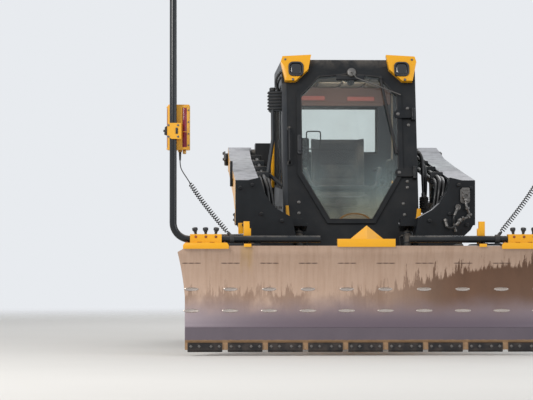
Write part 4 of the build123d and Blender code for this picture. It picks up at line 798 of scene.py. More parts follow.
motor.box((-0.094, -0.026, -0.02), (0.118, 0.0, 0.02), 0.006, Matrix.Translation(on_front(0, 2.01, -0.006))
    @ CAB_TURN)
motor.turned(on_front(0.022, 2.01, -0.1), CAB_OUT, ((0, 0.026), (0.006, 0.03), (0.05, 0.03), (0.056, 0.022),
    (0.09, 0.02)), 24)
piece("wiper_motor", motor, textured, "front_door", bevel=0.001)

door_bolts = Shape()
door_bolts.bolts([on_front(0.362, z, 0.027) for z in (1.73, 1.29)], CAB_OUT, 0.021)
piece("door_hinge_bolts", door_bolts, bolt_steel, "front_door", bevel=0.0006)
latch = Shape()
latch.pad((0.03, 0.15, 0.012), on_front(-0.374, 1.5, 0.017), X, CAB_UP, 0.012, 0.003)
latch.pad((0.022, 0.09, 0.009), on_front(-0.374, 1.49, 0.029), X, CAB_UP, 0.012, 0.004)
latch.rod(on_front(-0.374, 1.558, 0.029), on_front(-0.374, 1.558, 0.034), 0.008)
piece("door_latch", latch, knob_black, "front_door", bevel=0.001)

# Cab front: bolts, grab handle, corner trim and lamps
front_bolts = Shape()
front_bolts.bolts([on_front(*at) for at in ((-0.383, 1.076), (-0.383, 0.995), (0.389, 1.065), (0.396, 0.984),
    (0.382, 0.87), (0.422, 1.231), (0.422, 1.186), (0.437, 1.78), (-0.383, 0.88), (0.441, 1.655))], CAB_OUT,
    0.02)
for side, hand in SIDES:
    front_bolts.bolt(on_front(side * 0.418, 1.983, 0.052), CAB_OUT, 0.016)
    front_bolts.bolt(on_front(side * 0.474, 2.135, 0.052), CAB_OUT, 0.014)
piece("cab_front_bolts", front_bolts, bolt_steel, bevel=0.0006)
HANDLE_X, HANDLE_ENDS = -0.448, (1.623, 1.363)
handle = Shape()
top, foot = HANDLE_ENDS
handle.tube(eased([on_front(HANDLE_X, z, lift) for z, lift in ((top, 0), (top, 0.045), (foot, 0.045),
    (foot, 0))], 0.025), 0.0085)
for z in HANDLE_ENDS:
    handle.turned(on_front(HANDLE_X, z), CAB_OUT, ((0, 0.019), (0.005, 0.019), (0.008, 0.012)))
corner = Shape()
corner.prism([(x, up_front(z)) for x, z in ((-0.498, 0.96), (-0.464, 0.96), (-0.464, 1.966),
    (-0.498, 1.966))], *FRONT, 0.004, 0.0015)
piece("grab_handle", handle, black, bevel=0.0006)
piece("cab_corner_trim", corner, grey)
LAMP_AT = (0.395, 2.062)
lamp_rims, lenses = Shape(), Shape()
for side, hand in SIDES:
    place = (on_front(side * LAMP_AT[0], LAMP_AT[1]), X, CAB_UP)
    surround(lamp_rims, rounded(0.113, 0.113, 0.036), rounded(0.088, 0.09, 0.026), place, 0.022, 0.062)
    dome(lamp_rims, rounded(0.105, 0.105, 0.033), place, ((0.022, 1), (0.03, 1), (0.034, 0.5)))
    dome(lenses, rounded(0.09, 0.092, 0.027), place, ((0.044, 1), (0.052, 0.99), (0.0565, 0.9), (0.059, 0.6),
        (0.0598, 0.02)))
rims = piece("work_lamp_rims", lamp_rims, knob_black, bevel=0.0025)
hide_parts("work_lamps")
piece("work_lamp_glass", lenses, lens_glass, angle=60)

# Beside the cab's front: hoses with their boot, and yellow brackets
side_hoses, side_ends = Shape(), Shape()
hose(side_hoses, side_ends, ((0.512, -0.36, 1.46), (0.545, -0.4, 1.44), (0.548, -0.44, 1.32),
    (0.552, -0.46, 1.2), (0.555, -0.47, 1.115)), 0.014)
hose(side_hoses, side_ends, ((0.512, -0.33, 1.42), (0.565, -0.36, 1.38), (0.575, -0.42, 1.28),
    (0.572, -0.44, 1.14), (0.56, -0.42, 0.96)), 0.011)
piece("cab_side_hoses", side_hoses, hose_rubber)
piece("cab_side_hose_ends", side_ends, bolt_steel, bevel=0.0006)
boot = Shape()
rings = []
for i in range(7):
    rings += [(0.0125 * i, 0.03), (0.0125 * i + 0.004, 0.036), (0.0125 * i + 0.008, 0.036)]
boot.turned((0.555, -0.47, 1.03), Z, rings + [(0.092, 0.02)], 28)
boot.box((0.503, -0.495, 1.0), (0.592, -0.44, 1.032), 0.006)
piece("hose_boot", boot, boot_rubber)
brackets = Shape()
brackets.prism([(0.443, -1.285), (0.516, -1.285), (0.516, -1.158), (0.488, -1.158), (0.478, -1.235),
    (0.443, -1.238)], *FRONT, 0.012, 0.002)
brackets.prism([(-0.478, -1.235), (-0.452, -1.235), (-0.46, -1.135), (-0.482, -1.135)], *FRONT, 0.012, 0.002)
brackets.box((-0.53, 0.9, 1.23), (-0.502, 0.955, 1.83), 0.006)
piece("cab_yellow_brackets", brackets, yellow, bevel=0.0008)

# Rail bracket on the right-hand side: ribs, knobs and a lamp arm
guard = Shape()
for i in range(6):
    z = 1.775 + 0.024 * i
    guard.box((-0.604, -0.346, z), (-0.497, -0.278, z + 0.012), 0.003)
for z in (1.76, 1.92):
    guard.turned((-0.566, -0.312, z - 0.006), Z, ((0, 0.02), (0.004, 0.024), (0.022, 0.024), (0.028, 0.016)),
        20)
guard.tube(smooth_line([(-0.52, -0.3, 1.9), (-0.545, -0.3, 1.97), (-0.53, -0.31, 2.03), (-0.5, -0.31, 2.06)]),
    0.009)
guard.tube(smooth_line([(-0.503, -0.28, 1.88), (-0.528, -0.28, 1.93), (-0.52, -0.29, 2.0),
    (-0.5, -0.3, 2.02)]), 0.007)
piece("guard_bracket", guard, soft_black, bevel=0.0008)

# Inside the cab: lining, header, screen, grips, lap bar and gas strut
inside = Shape()
ROOF_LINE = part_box("headliner")[0].z
for row, (near, far) in enumerate(((-0.2, 0.12), (0.14, 0.5), (0.52, 0.86))):
    for x in (-0.285, -0.095, 0.095, 0.285):
        half = 0.09 - 0.004 * row
        inside.box((x - half, near, ROOF_LINE - 0.018), (x + half, far, ROOF_LINE + 0.004), 0.008)
for side, hand in SIDES:
    edge = [(CAB_FRONT_Y + (z - CAB_TOP) * math.tan(CAB_LEAN) + depth, z)
        for z, depth in ((0.78, 0.062), (0.78, 0.15), (1.95, 0.15), (1.95, 0.062))]
    inside.prism(edge, (side * 0.4395 - 0.0045, 0, 0), Y, Z, 0.009, 0.002)
    inside.box((side * 0.4395 - 0.0045, 0.86, 0.78), (side * 0.4395 + 0.0045, 0.94, 2.03), 0.002)
piece("cab_lining", inside, trim_plastic)
header = Shape()
header.box((-0.43, 0.915, 1.895), (0.43, 0.943, 2.04), 0.008)
header.box((-0.37, 0.9, 1.885), (0.37, 0.93, 1.912), 0.006)
piece("rear_header", header, header_plastic)
strips = Shape()
strips.box((-0.34, 0.894, 1.93), (-0.1, 0.916, 1.965), 0.006)
strips.box((0.08, 0.894, 1.925), (0.3, 0.916, 1.96), 0.006)
piece("header_strips", strips, strip_plastic, bevel=0.002)
screen = Shape()
screen.pad((0.126, 0.226, 0.014), (-0.335, 0.0605, 1.47), X, Z, 0.012, 0.004)
screen.turned((-0.335, 0.055, 1.545), -Y, ((0, 0.012), (0.006, 0.012), (0.009, 0.008)))
for x in (-0.365, -0.335, -0.305):
    screen.pad((0.018, 0.01, 0.003), (x, 0.05, 1.385), X, Z, 0.004, 0.001)
screen.tube(eased([(-0.27, 0.09, 1.5), (-0.182, 0.09, 1.5), (-0.182, 0.09, 1.636), (-0.29, 0.09, 1.636),
    (-0.29, 0.09, 1.58)], 0.02), 0.005)
piece("display_housing", screen, soft_black)
pixels = Shape()
pixels.pad((0.1, 0.11, 0.006), (-0.335, 0.0484, 1.465), X, Z, 0.0012)
piece("display_screen", pixels, lens_glass)

grips = Shape()
for side, hand in SIDES:
    base = Vector((side * 0.3625, 0.235, 1.222))
    up = Vector((0, -0.13, 1)).normalized()
    rings = []
    for i in range(5):
        rings += [(0.011 * i, 0.042 - 0.005 * i), (0.011 * i + 0.006, 0.045 - 0.005 * i)]
    grips.turned(base, up, rings, 24)
    grips.turned(base + up * 0.05, up, ((0, 0.017), (0.02, 0.022), (0.05, 0.021), (0.09, 0.033),
        (0.13, 0.036), (0.15, 0.03), (0.158, 0.012)), 24)
    grips.turned(base + up * 0.2 + Vector((0.01 * side, -0.02, 0)), -Y,
        ((0, 0.008), (0.02, 0.008), (0.024, 0.005)))
    grips.box((side * 0.36 - 0.05, 0.36, 1.235), (side * 0.36 + 0.05, 0.72, 1.29), 0.02)
piece("joystick_grips", grips, soft_black, bevel=0.0015)
bar_shape = Shape()
bar_shape.tube(eased([(-0.29, 0.7, 1.36), (-0.29, 0.3, 1.36), (-0.25, 0.14, 1.2), (0.25, 0.14, 1.2),
    (0.29, 0.3, 1.36), (0.29, 0.7, 1.36)], 0.06), 0.016)
bar_shape.tube([(-0.19, 0.14, 1.2), (0.19, 0.14, 1.2)], 0.026)
piece("lap_bar", bar_shape, knob_black)
strut = Shape()
strut.rod((0.352, -0.14, 1.19), (0.36, -0.2, 1.0), 0.012)
strut.rod((0.35, -0.12, 1.25), (0.353, -0.145, 1.18), 0.006)
strut.ball((0.36, -0.203, 0.992), 0.016)
piece("inner_strut", strut, yellow)

# Mast clamps: knobs, washers and bolts
CLAMP_X, CLAMP_FACE_Y, CLAMP_TOP = 1.083, -1.972, 0.824
knobs, washers, clamp_bolts = Shape(), Shape(), Shape()
for side, hand in SIDES:
    for step, lean in ((-0.068, -0.1), (0, 0.05), (0.068, 0.16)):
        at = Vector((side * (CLAMP_X + step), -1.93, CLAMP_TOP))
        up = Vector((lean * side, -0.08, 1)).normalized()
        knobs.turned(at, up, ((0, 0.009), (0.012, 0.009), (0.016, 0.013), (0.02, 0.0115)), 20)
        across = up.orthogonal().normalized()
        other = up.cross(across)
        ribs = [spot for pair in zip(circle(8, 0.0185), circle(8, 0.015, phase=0.5)) for spot in pair]
        dome(knobs, ribs, (at + up * 0.02, across, other), ((0, 0.6), (0.006, 1), (0.02, 1.04), (0.024, 0.94),
            (0.027, 0.6), (0.028, 0.02)))
        washers.turned((at.x, CLAMP_FACE_Y + 0.001, 0.806), -Y, ((0, 0.009), (0.0035, 0.009), (0.005, 0.006)),
            20)
    for x in (CLAMP_X - 0.128, CLAMP_X + 0.128):
        clamp_bolts.bolt((side * x, -1.93, 0.765), Z, 0.02)
        clamp_bolts.bolt((side * x, -1.965, 0.765), Z, 0.014)
    clamp_bolts.bolt((side * 0.8, -1.905, 0.758), -Y, 0.014)
made = piece("clamp_knob_heads", knobs, knob_black, "blade", bevel=0.0006, angle=50)
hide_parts("clamp_knobs")
piece("clamp_washers", washers, rust, "blade", bevel=0.0004)
piece("clamp_bolts", clamp_bolts, rust, "blade", bevel=0.0004)
pads = Shape()
for side, hand in SIDES:
    pads.prism([(side * 0.705, 0.747), (side * 0.94, 0.747), (side * 0.925, 0.763), (side * 0.72, 0.757)],
        (0, -1.9, 0), X, Z, 0.09, 0.001)
    pads.box((side * 0.822 - 0.02, -1.93, 0.747), (side * 0.822 + 0.02, -1.9, 0.764), 0.002)
piece("lip_pads", pads, textured, "blade")

# Moldboard: lens-shaped plug welds, stitch welds and the cutting edge's plow bolts
LOW, DEEP, HIGH = Vector((-1.958, 0.19)), Vector((-1.902, 0.43)), Vector((-2.0, 0.745))


def through_three(a, b, c):
    """Centre and radius of the circle through three points."""
    d = 2 * (a.x * (b.y - c.y) + b.x * (c.y - a.y) + c.x * (a.y - b.y))
    x = (a.dot(a) * (b.y - c.y) + b.dot(b) * (c.y - a.y) + c.dot(c) * (a.y - b.y)) / d
    y = (a.dot(a) * (c.x - b.x) + b.dot(b) * (a.x - c.x) + c.dot(c) * (b.x - a.x)) / d
    centre = Vector((x, y))
    return centre, (a - centre).length


ROLL_CENTRE, ROLL_R = through_three(LOW, DEEP, HIGH)


def on_blade(x, z):
    """A point of the moldboard's front at a height, and the way out of it."""
    y = ROLL_CENTRE.x + math.sqrt(ROLL_R ** 2 - (z - ROLL_CENTRE.y) ** 2)
    return Vector((x, y, z)), Vector((0, ROLL_CENTRE.x - y, ROLL_CENTRE.y - z)).normalized()


PLUG_X, PLUG_STEP = 0.142, 0.2645
plugs, beads = Shape(), Shape()
for i in range(-5, 5):
    for z, width in ((0.45, 0.05), (0.304, 0.056)):
        x = PLUG_X + PLUG_STEP * i
        at, out = on_blade(x, z)
        dome(plugs, circle(24, width, 0.013), (at, X, X.cross(out) * -1),
            ((-0.002, 1), (0.0012, 1), (0.003, 0.86), (0.0014, 0.7), (0.0008, 0.02)))
    at, out = on_blade(x, 0.6275)
    for k in range(3):
        beads.ball(at + X * (0.042 * (k - 1)), 0.0055, (4.2, 0.4, 0.6))
piece("plug_welds", plugs, weld_steel, "blade", bevel=0.0004)
piece("stitch_welds", beads, weld_bead, "blade")
plow = Shape()
for i in range(18):
    for k in (-1, 1):
        x = (i - 8.5) * 0.136 + k * 0.028
        plow.turned((x, -1.9895, 0.064), -Y, ((0, 0.0125), (0.0035, 0.0125), (0.0065, 0.009)), 4, 0.5)
        plow.turned((x, -1.966, 0.064), Y, ((0, 0.013), (0.012, 0.013)), 6)
piece("plow_bolts", plow, bolt_steel, "blade", bevel=0.0005)

# Receivers: red windows, yellow caps, screws, clamp lever, plug and relief
for side, hand in SIDES:
    windows, caps, screws, lever, plug = (Shape() for _ in range(5))
    body = f"mast_{hand}"
    for x, y, r in ((1.2277, -1.8738, 0.0192), (1.332, -1.815, 0.0165)):
        windows.turned((side * x, y, 1.413), Z, ((0, r - 0.004), (0.006, r), (0.271, r), (0.277, r - 0.004)),
            32)
        for z in (1.403, 1.688):
            caps.turned((side * x, y, z), Z, ((0, r - 0.002), (0.003, r + 0.003), (0.009, r + 0.003),
                (0.012, r - 0.002)), 32)
        caps.turned((side * x, y, 1.52), Z, ((0, r + 0.0012), (0.004, r + 0.0012)), 32)
    screws.bolts([(side * 1.2, -1.8862, z) for z in (1.67, 1.589, 1.508, 1.43)], -Y, 0.009)
    screws.bolts([(side * x, -1.968, z) for z in (1.485, 1.563) for x in (1.337, 1.272)], -Y, 0.012)
    caps.box((side * 1.267 - 0.074, -1.87, 1.694), (side * 1.267 + 0.074, -1.775, 1.71), 0.007)
    lever.prism([(side * 1.346, 1.493), (side * 1.366, 1.5), (side * 1.362, 1.552), (side * 1.346, 1.56)],
        (0, -1.92, 0), X, Z, 0.016, 0.003)
    lever.rod((side * 1.34, -1.93, 1.526), (side * 1.372, -1.93, 1.526), 0.008)
    lever.box((side * 1.281 - 0.008, -1.9735, 1.504), (side * 1.281 + 0.008, -1.967, 1.546), 0.003)
    plug.turned((side * 1.228, -1.85, 1.372), Z, ((0, 0.009), (0.004, 0.012), (0.022, 0.012), (0.03, 0.009)),
        20)
    nut(plug, (side * 1.258, -1.826, 1.386), Z, 0.026, 0.016)
    piece(f"receiver_windows_{hand}", windows, window_red, body)
    piece(f"receiver_caps_{hand}", caps, receiver_yellow, body, bevel=0.0008)
    piece(f"receiver_screws_{hand}", screws, bolt_steel, body, bevel=0.0004)
    piece(f"receiver_lever_{hand}", lever, knob_black, body, bevel=0.0008)
    piece(f"receiver_plug_{hand}", plug, brass, body, bevel=0.0004)

# Lip: the peaked centre piece, the notched posts, and the turned-down feet of the clamps
LIP_TOP = 0.792
sights = Shape()
sights.box((-0.19, -2.004, 0.737), (0.203, -1.93, LIP_TOP), 0.002)
peak = [sights.mesh.verts.new(at) for at in ((-0.1, -1.94, LIP_TOP), (0.012, -2.0, LIP_TOP),
    (0.125, -1.94, LIP_TOP), (0.012, -1.87, LIP_TOP), (0.012, -1.935, 0.884))]
sights.mesh.faces.new((peak[3], peak[2], peak[1], peak[0]))
for i in range(4):
    sights.mesh.faces.new((peak[i], peak[(i + 1) % 4], peak[4]))
for side, hand in SIDES:
    x = side * 0.8
    sights.box((x - 0.025, -2.0, 0.745), (x + 0.025, -1.85, 0.759), 0.002)
    sights.box((x - 0.025, -2.006, 0.737), (x + 0.025, -1.999, 0.757), 0.0015)
    notch = [(0.775, 0.759), (0.825, 0.759), (0.825, 0.912), (0.785, 0.912), (0.785, 0.864), (0.775, 0.864)]
    sights.prism([(side * a, b) for a, b in notch][::side], (0, -1.85, 0), X, Z, 0.05, 0.0015)
made = piece("lip_sight_shapes", sights, yellow, "blade", angle=25)
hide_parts("lip_sights")
feet = Shape()
for side, hand in SIDES:
    foot = [(0.928, 0.724), (1.238, 0.724), (1.238, 0.75), (1.225, 0.766), (0.94, 0.766), (0.928, 0.75)]
    feet.prism([(side * a, b) for a, b in foot][::side], (0, -1.999, 0), X, Z, 0.006, 0.0015)
piece("clamp_feet", feet, yellow, "blade")

# Knees: bolts, the hydraulic quick couplers on the left one, and small brackets on the right one
knee_bolts, couplers, fluid = Shape(), Shape(), Shape()
for side, hand in SIDES:
    knee_bolts.bolts([on_plate(side * x, z) for x, z in ((0.742, 1.187), (0.828, 1.165), (0.677, 0.979),
        (0.80, 0.9), (0.6, 0.79), (0.53, 0.93))], -Y, 0.024)
couplers.pad((0.054, 0.04, 0.006), on_plate(0.789, 1.148), X, Z, 0.03, 0.003)
couplers.pad((0.07, 0.11, 0.02), on_plate(0.786, 1.11, -0.002), X, Z, 0.006, 0.002)
couplers.turned(on_plate(0.789, 1.108), -Y, ((0, 0.03), (0.022, 0.03), (0.028, 0.024), (0.034, 0.024),
    (0.034, 0.014), (0.02, 0.013)), 28)
for x in (0.778, 0.8):
    couplers.turned(on_plate(x, 1.15, 0.03), -Y, ((0, 0.006), (0.006, 0.005)), 12)
PORTS = (((0.789, 1.085, 0.03), (0.785, 1.045, 0.04), (0.8, 1.01, 0.04), (0.814, 0.975, 0.03)),
    ((0.81, 0.965, 0.032), (0.79, 0.95, 0.04), (0.765, 0.945, 0.036), (0.745, 0.93, 0.028)))
for port in PORTS:
    line = smooth_line([on_plate(*at) for at in port])
    couplers.tube(line, 0.009)
    for k in (0, len(line) // 2, len(line) - 2):
        nut(couplers, line[k], line[min(k + 1, len(line) - 1)] - line[k - 1 if k else 0], 0.03, 0.016)
couplers.turned(on_plate(0.735, 1.029), -Y, ((0, 0.02), (0.006, 0.02), (0.006, 0.012), (0.001, 0.011)), 24)
hose(fluid, couplers, [on_plate(*at) for at in ((0.74, 0.925, 0.03), (0.715, 0.895, 0.034),
    (0.68, 0.872, 0.034), (0.65, 0.885, 0.034), (0.645, 0.92, 0.02))], 0.009)
hose(fluid, couplers, [on_plate(*at) for at in ((0.72, 1.0, 0.02), (0.7, 0.96, 0.034), (0.7, 0.92, 0.03),
    (0.71, 0.875, 0.02))], 0.007)
piece("knee_bolts", knee_bolts, textured, "boom", bevel=0.0006)
piece("quick_couplers", couplers, bolt_steel, "boom", bevel=0.0006)
marker = Shape()
marker.box((-0.842, -1.092, 0.836), (-0.806, -1.07, 0.915), 0.004)
piece("knee_bracket", marker, yellow, "boom", bevel=0.0008)
guide = Shape()
guide.box((-0.885, -0.33, 1.2), (-0.865, -0.295, 1.39), 0.004)
guide.box((-0.875, -0.33, 1.2), (-0.861, -0.295, 1.26), 0.003)
piece("arm_guide", guide, black, "boom", bevel=0.0008)

# Hoses along the inner faces of the arms, down behind the knees to the coupler's cylinders
SADDLES_Y = (1.1, 0.55, 0.0, -0.5)
arm_ends = Shape()
for side, hand in SIDES:
    for i, (x, drop, radius) in enumerate(((0.67, 0.02, 0.014), (0.64, 0.01, 0.014), (0.612, 0.03, 0.012),
            (0.662, 0.058, 0.012), (0.63, 0.05, 0.011))):
        route = [(x, 1.26, 1.493 - drop), (x, 0.9, 1.452 - drop), (x, 0.3, 1.375 - drop),
            (x, -0.35, 1.296 - drop), (x, -0.74, 1.262 - drop), (x - 0.01, -0.88, 1.2 - drop),
            (x - 0.03, -0.885, 1.06 - 0.02 * i), (0.6 - 0.012 * i, -0.875, 0.93)]
        hose(fluid, arm_ends, flip(route, side), radius)
    for y in SADDLES_Y:
        z = 1.222 + (y + 1.07) * 0.1218
        arm_ends.box((side * 0.645 - 0.047, y - 0.02, z - 0.078), (side * 0.645 + 0.047, y + 0.02, z + 0.012),
            0.006)
        arm_ends.bolt((side * 0.645, y, z + 0.012), Z, 0.014)
piece("boom_hoses", fluid, hose_rubber, "boom")
piece("boom_hose_clamps", arm_ends, textured, "boom", bevel=0.0006)

# Pins: end plates, keeper bolts and grease nipples
arm_pins, tower_pins, tool_pins = Shape(), Shape(), Shape()


def pin_end(shape, at, way, radius):
    """A pin's end: cap with a bevel, keeper bar with two bolts, and a nipple."""
    at, way = Vector(at), Vector(way)
    shape.turned(at, way, ((0, radius), (0.008, radius), (0.012, radius * 0.9)), 32)
    shape.nipple(at + way * 0.012, way, 0.01)
    across = way.orthogonal().normalized()
    other = way.cross(across)
    shape.pad((radius * 2.1, radius * 0.5, radius * 0.15), at + other * radius * 0.72 + way * 0.002, across,
        other, 0.014, 0.002)
    for k in (-0.7, 0.7):
        shape.bolt(at + other * radius * 0.72 + across * radius * k + way * 0.016, way, radius * 0.4)


for side, hand in SIDES:
    out = X * side
    for shape, x, at, radius in ((tower_pins, 0.882, ARM_PIVOT, 0.05), (tower_pins, 0.799, LIFT_BASE, 0.043),
            (arm_pins, 0.809, LIFT_EYE, 0.045), (arm_pins, 0.448, TILT_BASE, 0.022),
            (tool_pins, 0.626, TOOL_PIN, 0.028)):
        pin_end(shape, (side * x, *at), out, radius)
    for k in (-1, 1):
        tool_pins.bolt((side * TILT_X + k * 0.038, *TILT_EYE), X * k, 0.026)
piece("boom_pin_ends", tower_pins, bolt_steel, bevel=0.0006)
piece("arm_pin_ends", arm_pins, bolt_steel, "boom", bevel=0.0006)
piece("tool_pin_ends", tool_pins, bolt_steel, "tool", bevel=0.0006)

# Coupler and push frame: latch levers, hoses to the blade's cylinders
tool_hoses, tool_ends, levers_shape = Shape(), Shape(), Shape()
for side, hand in SIDES:
    levers_shape.turned((side * 0.24, -1.11, 0.545), Z, ((-0.04, 0.016), (0.02, 0.016), (0.024, 0.012)), 20)
    levers_shape.tube(eased([(side * 0.24, -1.11, 0.56), (side * 0.3, -1.11, 0.575),
        (side * 0.36, -1.12, 0.575)], 0.02), 0.008)
    hose(tool_hoses, tool_ends, flip([(0.3, -1.152, 0.475), (0.31, -1.2, 0.5), (0.36, -1.26, 0.5),
        (0.372, -1.28, 0.45)], side), 0.009)
    hose(tool_hoses, tool_ends, flip([(0.16, -1.152, 0.475), (0.2, -1.24, 0.52), (0.27, -1.36, 0.5),
        (0.285, -1.41, 0.45)], side), 0.009)
piece("coupler_levers", levers_shape, yellow, "tool", bevel=0.0008)
piece("tool_hoses", tool_hoses, hose_rubber, "tool")
piece("tool_hose_ends", tool_ends, bolt_steel, "tool", bevel=0.0006)

# Cylinders: steel lines with their banjo ends, gland nuts and wipers
def cylinder_trim(name, body, base, rod, side_way, shoulder, mouth, radius):
    """A gland's wrench flats, two ports and a steel line along a barrel."""
    base, rod, side_way = Vector(base), Vector(rod), Vector(side_way)
    way = (rod - base).normalized()
    shape = Shape()
    shape.turned(base + way * (mouth - 0.024), way, ((0, radius + 0.0055), (0.006, radius + 0.0075),
        (0.018, radius + 0.0075), (0.022, radius + 0.0055)), 12)
    shape.turned(base + way * (shoulder + 0.004), way, ((0, radius * 0.96), (0.004, radius + 0.003),
        (0.012, radius + 0.003), (0.018, radius)), 32)
    line = [base + way * at + side_way * (radius + lift) for at, lift in ((shoulder + 0.03, 0),
        (shoulder + 0.03, 0.02), (mouth - 0.06, 0.02), (mouth - 0.06, 0))]
    shape.tube(eased(line, 0.012), 0.0055)
    for at in (shoulder + 0.03, mouth - 0.06):
        shape.turned(base + way * at + side_way * (radius - 0.004), side_way,
            ((0, 0.013), (0.012, 0.013), (0.016, 0.01)), 6)
    for k in (0.33, 0.66):
        at = base + way * (shoulder + (mouth - shoulder) * k)
        shape.turned(at - way * 0.006, way, ((0, radius + 0.0005), (0.001, radius + 0.002),
            (0.011, radius + 0.002), (0.012, radius + 0.0005)), 32)
    return piece(name, shape, textured, body, bevel=0.0004)


for side, hand in SIDES:
    cylinder_trim(f"lift_trim_{hand}", "lift_barrels", (side * LIFT_X, *LIFT_BASE),
        (side * LIFT_X, *LIFT_EYE), (0, 0.1595, 0.9872), 0.066, 0.98, 0.042)
    cylinder_trim(f"tilt_trim_{hand}", "tilt_barrels", (side * TILT_X, *TILT_BASE),
        (side * TILT_X, *TILT_EYE), (-side, 0, 0), 0.062, 0.35, 0.036)
    cylinder_trim(f"angle_trim_{hand}", f"angle_barrel_{hand}", *flip((ANGLE_BASE, ANGLE_EYE), side), Z, 0.04,
        0.285, 0.032)
cylinder_trim("blade_tilt_trim", "blade_tilt_barrel", (-0.19, -1.665, 0.6), (0.3, -1.665, 0.6), Z, 0.058,
    0.38, 0.032)

# Tracks: wheel bolts, hub caps, grease fittings and the frame's covers
IDLERS_Y, IDLER_Z = (-0.32, 1.38), 0.25
ROLLERS_Y, ROLLER_Z = (0.04, 0.285, 0.53, 0.775, 1.02), 0.1523
WHEEL_X = 0.925
wheel_bolts, hubs = Shape(), Shape()
for side, hand in SIDES:
    out = X * side
    for row, z, bolt_r, hub_r in ((IDLERS_Y, IDLER_Z, 0.058, 0.034), (ROLLERS_Y, ROLLER_Z, 0.055, 0.04)):
        for y in row:
            wheel_bolts.bolts([(side * WHEEL_X, y + a, z + b) for a, b in circle(6, bolt_r)], out, 0.018)
            profile = ((-0.001, hub_r), (0.01, hub_r), (0.018, hub_r * 0.8), (0.02, hub_r * 0.3))
            hubs.turned((side * WHEEL_X, y, z), out, profile, 28)
    for x, radius, size in ((0.885, 0.075, 0.018), (0.835, 0.125, 0.022)):
        ring = [(side * x, SPROCKET.y + a, SPROCKET.z + b) for a, b in circle(9, radius)]
        wheel_bolts.bolts(ring, out, size)
    hubs.turned((side * 0.885, *SPROCKET.yz), out, ((-0.001, 0.05), (0.014, 0.05), (0.022, 0.042),
        (0.024, 0.01)), 32)
    hubs.pad((0.32, 0.085, 0.015), (side * 0.845, 0.42, 0.31), Y * side, Z, 0.008, 0.003)
    hubs.pad((0.09, 0.07, 0.012), (side * 0.845, -0.02, 0.305), Y * side, Z, 0.008, 0.003)
    wheel_bolts.bolts([(side * 0.853, y, 0.31) for y in (0.29, 0.55)], out, 0.016)
    wheel_bolts.turned((side * 0.853, -0.02, 0.305), out, ((0, 0.008), (0.006, 0.006), (0.014, 0.006),
        (0.017, 0.004)), 12)
piece("wheel_bolts", wheel_bolts, bolt_steel, bevel=0.0005)
piece("wheel_hubs", hubs, wheel_steel, bevel=0.0008)

# Rear: lamps on the bumper, latches, mesh behind the slots, and the exhaust
TAIL_LAMP_X, REAR_LAMP_X = 0.24, 0.38
tail_rims, tail, clear_lamps, latches, door_mesh = Shape(), Shape(), Shape(), Shape(), Shape()
for side, hand in SIDES:
    x = side * TAIL_LAMP_X
    tail_rims.pad((0.13, 0.1, 0.016), (x, 2.0, 0.474), -X, Z, 0.008, 0.003)
    for lens, shift, width in ((tail, 0.018, 0.074), (clear_lamps, -0.041, 0.034)):
        dome(lens, rounded(width, 0.078, 0.013), (Vector((x + side * shift, 2.007, 0.474)), -X, Z),
            ((-0.002, 1), (0.005, 0.97), (0.008, 0.82), (0.009, 0.02)))
piece("tail_lamp_rims", tail_rims, knob_black)
piece("tail_lamp_lenses", tail, lamp_red, angle=60)
piece("reversing_lenses", clear_lamps, lamp_clear, angle=60)
latches.pad((0.12, 0.085, 0.014), (-0.36, 2.0, 0.69), -X, Z, 0.005, 0.002)
latches.pad((0.085, 0.042, 0.01), (-0.36, 2.004, 0.7), -X, Z, 0.009, 0.003)
latches.turned((-0.36, 2.004, 0.664), Y, ((0, 0.01), (0.005, 0.01), (0.006, 0.006), (0.004, 0.005)), 24)
latches.bolts([(x, 2.0, z) for x in (-0.405, 0.36) for z in (0.63, 1.33)], Y, 0.02)
for i in range(31):
    x = -0.31 + 0.02 * i
    door_mesh.turned((x, 1.936, 0.79), Z, ((0, 0.0022), (0.42, 0.0022)), 6)
for i in range(9):
    for z in (-0.006, 0.006):
        door_mesh.turned((-0.3, 1.938, 0.816 + 0.046 * i + z), X, ((0, 0.0022), (0.58, 0.0022)), 6)
piece("rear_door_latch", latches, knob_black, "rear_door", bevel=0.0006)
piece("rear_door_mesh", door_mesh, textured, "rear_door")
EXHAUST_AT, HOOD_TOP = (0.375, 1.6), 1.43
hood_latch, hood_mesh, exhaust = Shape(), Shape(), Shape()
hood_latch.box((-0.06, 1.79, 1.427), (0.06, 1.815, 1.438), 0.004)
hood_latch.tube(eased([(-0.045, 1.8, 1.432), (-0.045, 1.8, 1.47), (0.045, 1.8, 1.47), (0.045, 1.8, 1.432)],
    0.02), 0.006)
for side, hand in SIDES:
    hood_latch.bolts([(side * 0.44, y, HOOD_TOP) for y in (1.12, 1.75)], Z, 0.02)
for i in range(29):
    hood_mesh.turned((-0.28 + 0.02 * i, 1.27, 1.421), Y, ((0, 0.002), (0.46, 0.002)), 6)
for i in range(9):
    for step in (-0.006, 0.006):
        hood_mesh.turned((-0.3, 1.3 + 0.05 * i + step, 1.4225), X, ((0, 0.002), (0.6, 0.002)), 6)
exhaust.turned((*EXHAUST_AT, HOOD_TOP), Z, ((0, 0.052), (0.006, 0.052), (0.008, 0.036), (0.07, 0.036),
    (0.074, 0.0385), (0.08, 0.0385), (0.084, 0.036), (0.084, 0.031), (0.012, 0.031)), 40)
exhaust.bolts([(EXHAUST_AT[0] + a, EXHAUST_AT[1] + b, HOOD_TOP + 0.006)
    for a, b in circle(4, 0.044, phase=0.5)], Z, 0.011)
piece("hood_latch", hood_latch, textured, "hood", bevel=0.0006)
piece("hood_mesh", hood_mesh, textured, "hood")
piece("exhaust_stub", exhaust, rust, "hood", bevel=0.0006)

